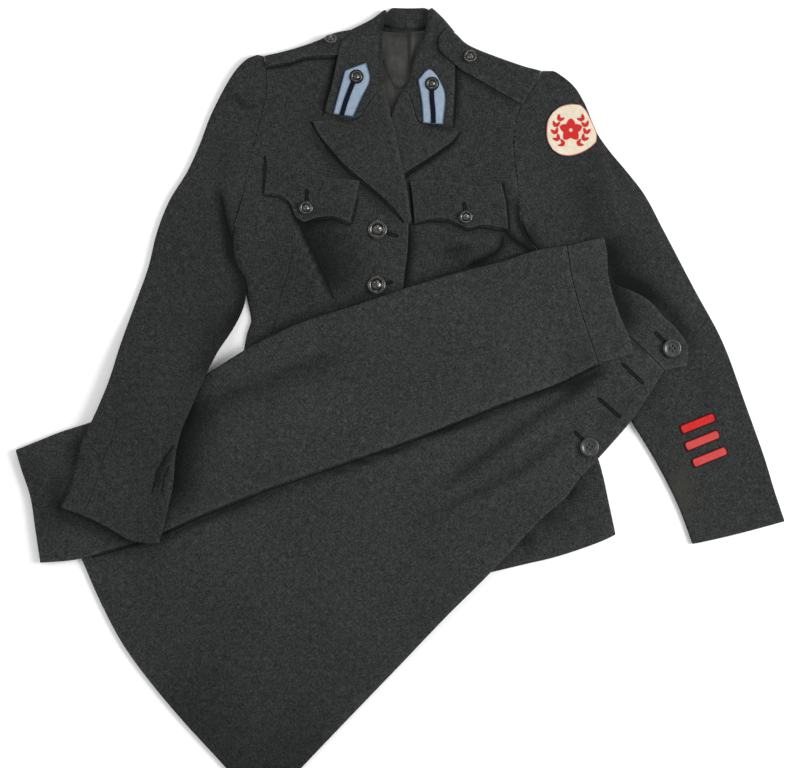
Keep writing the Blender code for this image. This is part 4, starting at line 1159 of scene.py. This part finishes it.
def sleeve(name, outline, armhole_side, front_edge, top_at, ground, finish, grain, rests_on, marks_at):
    """A flattened tube, open along its armhole and at its cuff."""
    columns = np.concatenate([[0], np.linspace(0.06, 0.94, 20), [1]])
    plan = sleeve_plan(outline, armhole_side, front_edge, columns)
    tall = top_at(plan[..., 0], plan[..., 1])
    lines = {"left": plan[:, 0], "right": plan[:, -1]}
    inwards = {"left": square_to(plan[:, 0]), "right": -square_to(plan[:, -1])}
    width = np.linalg.norm(plan[:, 0] - plan[:, -1], axis=1)
    inset = np.minimum(sleeve_rise(plan[:, 0, 1]) / 2 / SQUARE, width * 0.05)[:, None]
    at_armhole = lines[armhole_side][:, 1] < UNDERARM
    edge_tall = {"left": tall[:, 0], "right": tall[:, -1]}

    def edge(side, share, level, above):
        flat = at_armhole if side == armhole_side else np.zeros(len(plan), bool)
        level = np.where(flat, 1, level) if above else np.where(flat, 0, 1 - level)
        return lines[side] + inwards[side] * inset * share, edge_tall[side] * level

    inner = range(1, len(columns) - 1)
    above = [edge("left", share, level, True) for share, level in SLEEVE_EDGE]
    above += [(plan[:, column], tall[:, column]) for column in inner]
    above += [edge("right", share, level, True) for share, level in SLEEVE_EDGE[::-1]]
    below = [edge("right", share, level, False) for share, level in SLEEVE_EDGE]
    below += [(plan[:, column], 0 * tall[:, column]) for column in reversed(inner[::4])]
    below += [edge("left", share, level, False) for share, level in SLEEVE_EDGE[::-1]]
    ring = below + above[1:] if armhole_side == "right" else above + below[1:]
    places = np.stack([at for at, _ in ring], axis=1)
    heights = np.stack([height for _, height in ring], axis=1)
    heights += ground(places[..., 0], places[..., 1])
    marks = {mark: at(places[..., 0], places[..., 1]) for mark, at in marks_at.items()}
    cloth(
        name, places, heights, WOOL, finish, grain=grain, ring=True, drop=0,
        rests_on=rests_on, marks=marks,
    )


def cuff_stain(x, y):
    return np.exp(-(((x - 682) / 12) ** 2) - ((y - 490) / 24) ** 2)


def sleeves():
    rows = front_rows()
    right_edge = along(RIGHT_ARMHOLE + RIGHT_SIDE, rows)
    left_edge = along(LEFT_ARMHOLE + LEFT_SIDE, rows)
    # The right sleeve's colour carries painted shade and painted shadow lines as well as its seam.
    seamed = wool("charcoal_serge_seamed_painted_shadows", seam=SLEEVE_SEAM, shadows=RIGHT_SLEEVE_SHADOWS)
    sleeve(
        "sleeve_right", RIGHT_SLEEVE, "right", right_edge, right_sleeve_top, under_right_sleeve, seamed,
        -22, ["skirt_back"], {"painted_shade": lambda x, y: painted_shade_along(x, y, RIGHT_SLEEVE_PAINTED_SHADE)},
    )
    # The left sleeve's colour carries its stain and painted shade.
    stained = wool("charcoal_serge_stained", stained=True)
    sleeve(
        "sleeve_left", LEFT_SLEEVE, "left", left_edge, left_sleeve_top, under_left_sleeve, stained,
        26, (), {"stain": cuff_stain, "painted_shade": lambda x, y: painted_shade_along(x, y, LEFT_SLEEVE_PAINTED_SHADE)},
    )


sleeves()


# Badges: a round cream felt patch below the left shoulder, its emblem a plain red rosette between
# two sprigs, and three red braid service bars across the left forearm.
BRAID = 1.0
STITCHES = 0.5
PATCH = {
    "top": ((553, 112), (560, 106.5), (570, 103.8), (580.5, 104.6)),
    "right": ((580.5, 104.6), (586, 110), (592, 121), (597, 134), (596.5, 142)),
    "bottom": ((552.5, 149.5), (560, 154.5), (569, 156), (580, 153.5), (590, 148), (596.5, 142)),
    "left": ((553, 112), (548, 119.5), (546.3, 130), (547.6, 141), (552.5, 149.5)),
}
ROSETTE_MIDDLE = (571, 130)
BAR = (37, 10)
BAR_MIDDLES = ((698, 423.5), (702.5, 440.5), (710, 457))
BAR_SLOPE = 22
CREAM_DARK = (0.50, 0.42, 0.31, 1)
CREAM_LIGHT = (0.72, 0.65, 0.52, 1)
RED = (0.42, 0.010, 0.010, 1)
RED_PALE = (0.50, 0.032, 0.030, 1)
FADED_RED = (0.42, 0.035, 0.034, 1)
FADED_PALE = (0.50, 0.075, 0.070, 1)
RED_EDGE = (0.05, 0.003, 0.004, 1)


def petal(bm, foot, length, width, angle):
    """A raised leaf shape of satin stitch, with its foot at this plan point."""
    made = bmesh.ops.create_circle(bm, cap_ends=True, segments=12, radius=1)
    face = made["verts"][0].link_faces[0]
    bmesh.ops.inset_region(bm, faces=[face], thickness=0.35)
    turned = np.radians(angle)
    ahead = np.array((np.cos(turned), np.sin(turned)))
    aside = np.array((-ahead[1], ahead[0]))
    for vert in {*made["verts"], *face.verts}:
        u, v = vert.co.x, vert.co.y
        at = foot + ahead * (u + 1) / 2 * length + aside * v / 2 * width * (1 - 0.35 * u)
        level = left_sleeve_top(at[:1], at[1:])[0] + FELT + ON_TOP
        raised = STITCHES if vert in face.verts else -0.2
        vert.co = place(at[0], at[1], level + raised)


def embroidery():
    """A five-petal rosette between two sprigs of leaves."""
    bm = bmesh.new()
    middle = np.array(ROSETTE_MIDDLE)
    for angle in np.arange(-90, 270, 72):
        turned = np.radians(angle)
        petal(bm, middle + 1.6 * np.array((np.cos(turned), np.sin(turned))), 10.0, 8.6, angle)
    for side in (-1, 1):
        for step in np.linspace(0, 1, 5):
            round_it = np.radians(90 + side * (24 + 104 * step))
            foot = middle + 15.6 * np.array((np.cos(round_it), np.sin(round_it)))
            for lean in (-34, 30):
                petal(bm, foot, 6.6, 3.2, np.degrees(round_it) + side * 90 + lean)
    mesh = bpy.data.meshes.new("patch_embroidery")
    bm.to_mesh(mesh)
    bm.free()
    mesh.shade_smooth()
    mesh.materials.append(felt("red_thread", RED, RED_PALE, RED))
    made = add("patch_embroidery", mesh)
    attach(made, "root")
    return made


def bar_outline(middle, size, slope):
    """A sloping bar as the sides of a patch."""
    slope = np.radians(slope)
    end = np.array((np.cos(slope), -np.sin(slope))) * size[0] / 2
    side = np.array((np.sin(slope), np.cos(slope))) * size[1] / 2
    upper = (middle - 0.95 * end - side, middle + 0.95 * end - side)
    lower = (middle - 0.95 * end + side, middle + 0.95 * end + side)
    left = (upper[0], middle - end - side / 2, middle - end + side / 2, lower[0])
    right = (upper[1], middle + end - side / 2, middle + end + side / 2, lower[1])
    return {"top": upper, "bottom": lower, "left": left, "right": right}


def sleeve_badges():
    cream = felt("patch_felt", CREAM_DARK, CREAM_LIGHT, (0.30, 0.05, 0.04, 1), 0.9)
    fine = steps(20, 0.02)
    laid_on(
        "shoulder_patch", PATCH, left_sleeve_top, FELT + ON_TOP, FELT, cream, fine, fine,
        slot="cream_felt", rests_on=["sleeve_left"], trims=[embroidery()], drop=0.25,
    )
    fresh = felt("service_braid", RED, RED_PALE, RED_EDGE, 1, 0.45)
    faded = felt("service_braid_faded", FADED_RED, FADED_PALE, RED_EDGE, 1, 0.45)
    for number, (middle, braid) in enumerate(zip(BAR_MIDDLES, (fresh, faded, faded)), 1):
        outline = bar_outline(np.array(middle), BAR, BAR_SLOPE)
        laid_on(
            f"service_bar_{number}", outline, left_sleeve_top, BRAID + ON_TOP, BRAID, braid,
            steps(6, 0.06), steps(16, 0.02), slot="red_braid", grain=BAR_SLOPE,
            rests_on=["sleeve_left"], drop=0.2,
        )


sleeve_badges()


# Skirt: a front and a back of heavier serge, laid together and folded once along the length, so
# that the upper part comes back over the lower one as a flap.
SKIRT_WOOL = 1.6
FOLD_INSET = (1.1, 3.0)
SKIRT_FOLD = (
    (15, 450), (40, 440), (60, 432), (85, 424), (145, 401), (205, 375), (230, 359), (250, 347),
    (300, 323), (350, 307), (400, 290), (460, 272), (500, 262), (538, 250), (566, 246),
)
FLAP_EDGE = (
    (40, 563), (80, 559), (105, 551), (140, 541), (165, 531), (200, 515), (270, 487), (350, 460),
    (420, 436), (500, 404), (560, 382), (590, 367), (598, 363),
)
FLAP_HEM = ((15, 450), (20.5, 468), (29.5, 495), (35, 530), (40, 563))
FLAP_SEAM = ((566, 246), (570, 270), (577, 300), (586, 328), (598, 363))
UNDER_HEM = ((15, 450), (38, 488), (62, 527), (80, 557))
UNDER_SEAM = ((566, 246), (566, 272), (580, 300), (605, 321))
SIDE_HEM = ((80, 557), (101, 605), (120.5, 642), (151.5, 685), (181, 720), (225, 768), (262, 811))
SIDE_SEAM = ((605, 321), (628, 336), (645, 351), (664, 370))
SKIRT_SIDE = (
    (262, 811), (302, 768), (342, 726), (403.5, 662), (445, 618), (492, 571), (511, 551), (545, 515),
    (568, 495), (578, 480), (592, 465), (612, 443), (630, 422), (645, 400), (655, 385), (664, 370),
)
SKIRT_FOLDS = (
    (((606, 372), (574, 392), (542, 414), (500, 446), (452, 482)), 2.4, 9, 10),
    (((636, 380), (604, 410), (570, 440), (530, 474)), 1.8, 12, 12),
    (((560, 398), (520, 416), (470, 440), (420, 462)), 1.2, 12, 9),
    (((150, 640), (220, 600), (300, 570)), 0.7, 24, 24),
)
FLAP_FOLDS = (
    (((190, 518), (270, 485), (350, 458), (420, 434), (500, 402), (560, 380), (600, 362)), 2.0, 12, 6),
    (((210, 410), (300, 372), (400, 340), (520, 300)), 0.8, 26, 30),
    (((225, 426), (232, 440), (226, 466)), 1.4, 20, 26),
    (((60, 500), (90, 470), (130, 440)), 0.8, 14, 16),
    (((200, 505), (300, 466), (420, 425), (520, 388)), 1.0, 14, 10),
)
# Painted shade on the skirt's lower part: darker colour below the flap's edge, in its folds, beside the tab,
# and towards the bottom.
SKIRT_PAINTED_SHADE = (
    (((604, 368), (580, 378), (540, 396), (480, 418), (400, 449), (270, 494)), 0.90, 4, 6),
    (((604, 368), (584, 380), (560, 394)), 0.60, 7, 7),
    (((610, 366), (584, 388), (550, 408), (500, 446), (430, 496)), 0.55, 6, 6),
    (((582, 424), (550, 448), (520, 470), (470, 497), (420, 520)), 0.38, 5, 6),
    (((640, 392), (616, 412), (596, 432)), 0.25, 6, 7),
    (((290, 486), (205, 519), (165, 535), (95, 558)), 0.80, 5, 6),
    (((628, 333), (636, 342), (650, 356)), 0.6, 3, 3),
    (((130, 690), (250, 800), (360, 730)), 0.45, 100, 100),
)
# Painted shade on the flap: a painted shadow beside the right sleeve's cuff, and darker colour in folds and
# near the fold.
FLAP_PAINTED_SHADE = (
    (((206, 388), (192, 412), (182, 444), (176, 484), (170, 516)), 0.85, 24, 14),
    (((66, 462), (58, 490), (60, 512), (90, 524), (125, 540), (165, 548)), 0.55, 9, 9),
    (((84, 434), (76, 446), (70, 466)), 0.45, 8, 8),
    (((28, 452), (36, 490), (46, 540)), 0.25, 22, 22),
    (((600, 318), (592, 350), (560, 372)), 0.18, 14, 20),
    (((194, 406), (230, 392), (268, 378), (310, 362), (350, 348)), 0.42, 4, 18),
)
# Painted shadows: dark lines on the lower part just below the flap's edge.
SKIRT_SHADOWS = (
    ((92, 557.5), (140, 543.5), (165, 533.5), (200, 517.5), (270, 489.5)),
    ((270, 489.5), (350, 462.5), (420, 438.5), (500, 406.5), (560, 384.5), (590, 369.5), (599, 365)),
)
# Painted shade on the band's end beside the flap's end.
BAND_PAINTED_SHADE = (
    (((606, 262), (612, 284), (622, 310), (632, 336)), 0.85, 17, 8),
)


def skirt_plan():
    """The skirt's rows from its lower side to the fold, and from the fold to the flap's edge."""
    columns = steps(86, 0.003)
    flap_rows = steps(20, 0.01)
    side_rows = steps(38, 0.006)
    fold = along(SKIRT_FOLD, columns) + FOLD_INSET
    edge = along(FLAP_EDGE, columns)
    flap_hem = np.array(FLAP_HEM, float)
    flap_hem[0] += FOLD_INSET
    flap_seam = np.array(FLAP_SEAM, float)
    flap_seam[0] += FOLD_INSET
    flap_sides = along(flap_hem, flap_rows), along(flap_seam, flap_rows)
    flap = between(fold, edge, *flap_sides, flap_rows, columns)
    under = flap.copy()
    hem = along(UNDER_HEM, flap_rows)
    seam = along(UNDER_SEAM, flap_rows)
    near_hem = np.interp(columns, (0, 0.16), (1, 0))[None, :, None]
    near_seam = np.interp(columns, (0.62, 1), (0, 1))[None, :, None]
    under += near_hem * (hem[:, None] - flap[:, :1]) + near_seam * (seam[:, None] - flap[:, -1:])
    under[0] = flap[0]
    side = between(
        under[-1], along(SKIRT_SIDE, columns), along(SIDE_HEM, side_rows), along(SIDE_SEAM, side_rows),
        side_rows, columns,
    )
    return np.concatenate([side[:0:-1], under[::-1]]), flap


def folded(name, under, flap, outer, finish, grain, rests_on, lower_painted_shade=(), upper_painted_shade=()):
    """A layer that runs under, turns at the fold and comes back over, outside or inside the turn."""
    radius = FOLD_OUTER if outer else FOLD_INNER
    middle = under[-1]
    places = list(under)
    x, y = under[..., 0], under[..., 1]
    lower_rise = unevenness(x, y) + folds(x, y, SKIRT_FOLDS)
    # Painted shade for the lower and the upper part.
    lower_painted_darkness = painted_shade_along(x, y, lower_painted_shade)
    x, y = flap[..., 0], flap[..., 1]
    upper_rise = unevenness(x + 90, y) + folds(x, y, FLAP_FOLDS)
    upper_painted_darkness = painted_shade_along(x, y, upper_painted_shade)
    lower_rise[-1] = upper_rise[0]
    levels = [rise - radius for rise in lower_rise]
    outward = -np.array(FOLD_DOWN)
    angles = np.radians(np.linspace(0, 180, 12)[1:-1])
    for angle in angles:
        places.append(middle + outward * radius / SQUARE * np.sin(angle))
        levels.append(upper_rise[0] - radius * np.cos(angle))
    places += list(flap)
    levels += [rise + radius for rise in upper_rise]
    beds = [skirt_bed(row[:, 0], row[:, 1]) for row in under]
    beds += [beds[-1]] * len(angles)
    beds += [skirt_bed(row[:, 0], row[:, 1]) for row in flap]
    heights = np.array(levels) + np.array(beds) + FOLD_OUTER
    turn = np.repeat((-0.3, 0, 0.3), (len(under), len(angles), len(flap)))[:, None]
    marks = {"painted_shade": np.concatenate([lower_painted_darkness, 0 * heights[:len(angles)], upper_painted_darkness])}
    cloth(
        name, np.array(places), heights, SKIRT_WOOL, finish, grain=grain, drop=turn,
        rests_on=rests_on, marks=marks,
    )


# Painted light: the skirt's serge is the jacket's cloth with its colour painted 15% brighter, where more light
# falls.
heavy_serge_painted_brighter = wool("heavy_serge_painted_brighter", painted_brightness=1.15)


def skirt():
    lower, flap = skirt_plan()
    under = ["front_right", "front_left"]
    folded("skirt_back", lower, flap, True, heavy_serge_painted_brighter, 24, under, (), FLAP_PAINTED_SHADE)
    # The skirt's lower part also carries painted shadow lines below the flap's edge.
    shaded = wool("heavy_serge_painted_brighter_and_shadowed", painted_brightness=1.15, shadows=SKIRT_SHADOWS)
    folded("skirt_front", lower, flap, False, shaded, 24, ["skirt_back"], SKIRT_PAINTED_SHADE)


skirt()


# Waistband: a band of the same serge sewn to the waist seam. Its back half wraps the flap's end,
# and its front half carries on past the placket as a buttoned tab.
BAND_UNDER_END = (
    (687, 366), (687, 345), (678, 331), (663, 316), (648, 300), (632, 291), (615, 284), (603, 268),
    (603, 237),
)
BAND_FLAP_END = (
    (603, 237), (607, 255), (607, 270), (611, 290), (619, 315), (628, 335), (634, 354),
)


def band(seam, outline, rows, columns):
    """The band's plan, from the waist seam to its own far edge."""
    seam = seam + (SEAM_GAP, 0)
    end = along(outline, rows)
    first = seam[0] + columns[:, None] * (end[0] - seam[0])
    last = seam[-1] + columns[:, None] * (end[-1] - seam[-1])
    return between(first, last, seam, end, rows, columns)


def waistband():
    lower, flap = skirt_plan()
    columns = steps(12, 0.03)
    outline = np.array(BAND_UNDER_END, float)
    outline[-1] += FOLD_INSET
    lower = band(lower[:, -1], outline, np.linspace(0, 1, len(lower)), columns)
    outline = np.array(BAND_FLAP_END, float)
    outline[0] += FOLD_INSET
    flap = band(flap[:, -1], outline, steps(20, 0.01), columns)
    under = ["front_left", "sleeve_left"]
    folded("waistband_back", lower[1:], flap, True, heavy_serge_painted_brighter, 66, under)
    folded("waistband_front", lower, flap, False, heavy_serge_painted_brighter, 66, under, BAND_PAINTED_SHADE)


waistband()


# Buttonholes: slits bound with charcoal thread, one behind each button of the closure and two open
# ones down the skirt's placket.
LIP_WIDE = (2.3, 1.7, 0.9, 0.15)
LIP_TALL = (0.1, 0.6, 0.6, 0.1)
THREAD_DARK = (0.008, 0.008, 0.009, 1)
THREAD_LIGHT = (0.022, 0.023, 0.024, 1)


def on_skirt(x, y):
    rise = unevenness(x, y) + folds(x, y, SKIRT_FOLDS)
    return skirt_bed(x, y) + rise + FOLD_OUTER - FOLD_INNER + SKIRT_WOOL


BUTTONHOLES = {
    "buttonhole_front_1": ((379, 231), (397, 236), right_front_top),
    "buttonhole_front_2": ((378, 285), (391.5, 282), right_front_top),
    "buttonhole_flap_right": ((307, 190.5), (306.3, 206), on_right_front),
    "buttonhole_flap_left": ((464, 203.5), (466, 216), on_left_front),
    "buttonhole_waist": ((655.5, 333), (669, 346), on_skirt),
    "buttonhole_skirt_1": ((623, 364.5), (642, 382.5), on_skirt),
    "buttonhole_skirt_2": ((599, 399), (619, 416.5), on_skirt),
    "buttonhole_placket": ((575.5, 432.5), (587, 444), on_skirt),
}


def buttonhole(name, start, end, ground, finish):
    """Loops round the slit: up the thread's lip, over its crest and down into the slit."""
    start, end = np.array(start), np.array(end)
    slope = np.arctan2(end[1] - start[1], end[0] - start[0])
    half = np.linspace(-np.pi / 2, np.pi / 2, 9)
    straight = np.linspace(0, 1, 9)[1:-1]
    angles = np.concatenate([
        half, np.full(7, np.pi / 2), half + np.pi, np.full(7, 1.5 * np.pi), half[:1],
    ])
    shares = np.concatenate([np.ones(9), 1 - straight, np.zeros(9), straight, (1,)])
    around = np.stack([np.cos(angles + slope), np.sin(angles + slope)], axis=1)
    middles = start + shares[:, None] * (end - start)
    wide = np.array(LIP_WIDE)[:, None, None] / SQUARE
    plan = middles[None] + around[None] * wide
    heights = ground(plan[..., 0], plan[..., 1]) + np.array(LIP_TALL)[:, None]
    panel(name, plan, heights, 0.3, finish, "wool", ring=True, drop=0)


thread = felt("buttonhole_thread", THREAD_DARK, THREAD_LIGHT, (0.002, 0.002, 0.002, 1))
for name, (start, end, ground) in BUTTONHOLES.items():
    buttonhole(name, start, end, ground, thread)


# Buttons: domed bronze uniform buttons on the jacket, struck with a rope rim and a plain flower and
# held by a shank, and two flat black horn ones on the skirt, sewn through four holes.
DOMED = (
    (0, 5.6), (0.8, 5.56), (1.6, 5.45), (2.4, 5.2), (3.2, 4.85), (4.0, 4.35), (4.7, 3.75), (5.2, 3.2),
    (5.6, 2.8), (6.1, 2.75), (6.6, 3.1), (7.2, 3.4), (7.9, 3.6), (8.7, 3.6), (9.3, 3.4), (9.8, 2.9),
    (9.9, 2.2), (9.7, 1.9), (6, 1.2), (2.6, 1.0), (2.4, 0),
)
GROOVE = 5.8
FLAT = tuple((step / 2, 2.5) for step in range(11)) + (
    (6.0, 2.6), (6.7, 3.2), (7.4, 3.6), (8.4, 3.8), (9.2, 3.5), (9.8, 2.7), (9.9, 1.9), (9.2, 0.9),
    (7, 0.3), (0, 0.3),
)
HOLE_MIDDLE = 1.9
STRUCK_ABOVE = 2.2
THREAD_LONG = 0.2
BRONZE_DARK = (0.045, 0.045, 0.043, 1)
BRONZE_LIGHT = (0.120, 0.119, 0.113, 1)
PATINA = (0.004, 0.004, 0.004, 1)
HORN_DARK = (0.012, 0.012, 0.012, 1)
HORN_LIGHT = (0.030, 0.030, 0.031, 1)


def on_right_tab(x, y):
    return right_collar_top(x, y) + FELT + ON_TOP


def on_left_tab(x, y):
    return on_left_front(x, y) + FELT + ON_TOP


UNIFORM_BUTTONS = {
    "front_button_1": ((377.5, 230), 11.3, right_front_top, 0),
    "front_button_2": ((376.5, 285), 10.9, right_front_top, 0),
    "flap_right_button": ((306, 208), 8.0, on_right_front, 0),
    "flap_left_button": ((466, 217), 7.7, on_left_front, 0),
    "tab_right_button": ((356.5, 77), 7.0, on_right_tab, 0),
    "tab_left_button": ((432, 84), 7.0, on_left_tab, 0),
    "strap_right_button": ((331, 40.5), 7.8, on_right_front, 42),
    "strap_left_button": ((470, 57), 7.7, left_strap_top, 12),
}
HORN_BUTTONS = {
    "waist_button": ((671.5, 348.5), 11.2, on_skirt),
    "placket_button": ((589, 447), 11.6, on_skirt),
}


def flower(far, angle):
    """Relief of the struck face in tenths of the radius: five petals in the middle, a rope rim."""
    petals = 0.30 * np.cos(5 * angle) * np.sin(np.pi * np.clip((far - 1.0) / 4.2, 0, 1)) ** 2
    rope = 0.10 * np.sin(26 * angle + 3 * far) * np.sin(np.pi * np.clip((far - 6.8) / 2.6, 0, 1))
    return petals + rope


def four_holes(far, angle):
    """Relief of the sewn face: four round holes through it."""
    across = np.abs(far * np.cos(angle)) - HOLE_MIDDLE
    down = np.abs(far * np.sin(angle)) - HOLE_MIDDLE
    return -2.0 * (1 - smooth((np.hypot(across, down) - 0.55) / 0.5)) * (far < 5.2)


def button(name, at, radius, ground, profile, relief, finish, tilt=0):
    """Turned from a profile of distances and heights in tenths of the radius, then struck."""
    unit = radius / 10000
    bm = bmesh.new()
    verts = [bm.verts.new((far * unit, 0, tall * unit)) for far, tall in profile]
    edges = [bm.edges.new(pair) for pair in zip(verts, verts[1:])]
    bmesh.ops.spin(
        bm, geom=verts + edges, cent=(0, 0, 0), axis=(0, 0, 1), angle=2 * np.pi, steps=144,
        use_merge=True,
    )
    bmesh.ops.remove_doubles(bm, verts=bm.verts, dist=unit / 100)
    bmesh.ops.recalc_face_normals(bm, faces=bm.faces)
    for vert in bm.verts:
        if vert.co.z > STRUCK_ABOVE * unit:
            far = vert.co.xy.length / unit
            vert.co.z += relief(far, np.arctan2(vert.co.y, vert.co.x)) * unit
    far = np.array([vert.co.xy.length for vert in bm.verts]) / unit
    mesh = bpy.data.meshes.new(name)
    bm.to_mesh(mesh)
    bm.free()
    groove = np.exp(-(((far - GROOVE) / 0.8) ** 2)) + 0.6 * np.exp(-(((far - 9.9) / 0.5) ** 2))
    mesh.attributes.new("groove", "FLOAT", "POINT").data.foreach_set("value", groove)
    level = float(ground(np.array([at[0]]), np.array([at[1]]))[0]) + THREAD_LONG
    level += radius * np.sin(np.radians(tilt)) / 3
    leant = Matrix.Rotation(np.radians(-tilt), 4, "X")
    turned = Matrix.Rotation(np.radians(sum(at) % 70), 4, "Z")
    mesh.transform(Matrix.Translation(place(at[0], at[1], level)) @ leant @ turned)
    mesh.shade_smooth()
    mesh.materials.append(finish)
    made = add(name, mesh)
    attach(made, "root")
    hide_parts(name)


def bronze():
    paint = Paint("dark_bronze", Metallic=0.9)
    at = paint.coordinates("Object")
    tarnish = paint.noise(at, 500, 3, 0.5)
    metal = paint.mix(tarnish.clear(0.3, 0.7), BRONZE_DARK, BRONZE_LIGHT)
    paint.cover("Base Color", paint.mix(paint.attribute("groove").clear(0.2, 0.9), metal, PATINA))
    paint.cover("Roughness", 0.22 + 0.15 * tarnish)
    paint.bump(tarnish, 0.0001, 0.2)
    return paint.material


def horn():
    paint = Paint("black_horn", Specular_IOR_Level=0.6)
    at = paint.coordinates("Object")
    mottle = paint.noise(at, 400, 3, 0.5)
    paint.cover("Base Color", paint.mix(mottle, HORN_DARK, HORN_LIGHT))
    paint.cover("Roughness", 0.25 + 0.2 * mottle)
    return paint.material


def buttons():
    metal = bronze()
    for name, (at, radius, ground, tilt) in UNIFORM_BUTTONS.items():
        button(name, at, radius, ground, DOMED, flower, metal, tilt)
    black = horn()
    for name, (at, radius, ground) in HORN_BUTTONS.items():
        button(name, at, radius, ground, FLAT, four_holes, black)


buttons()
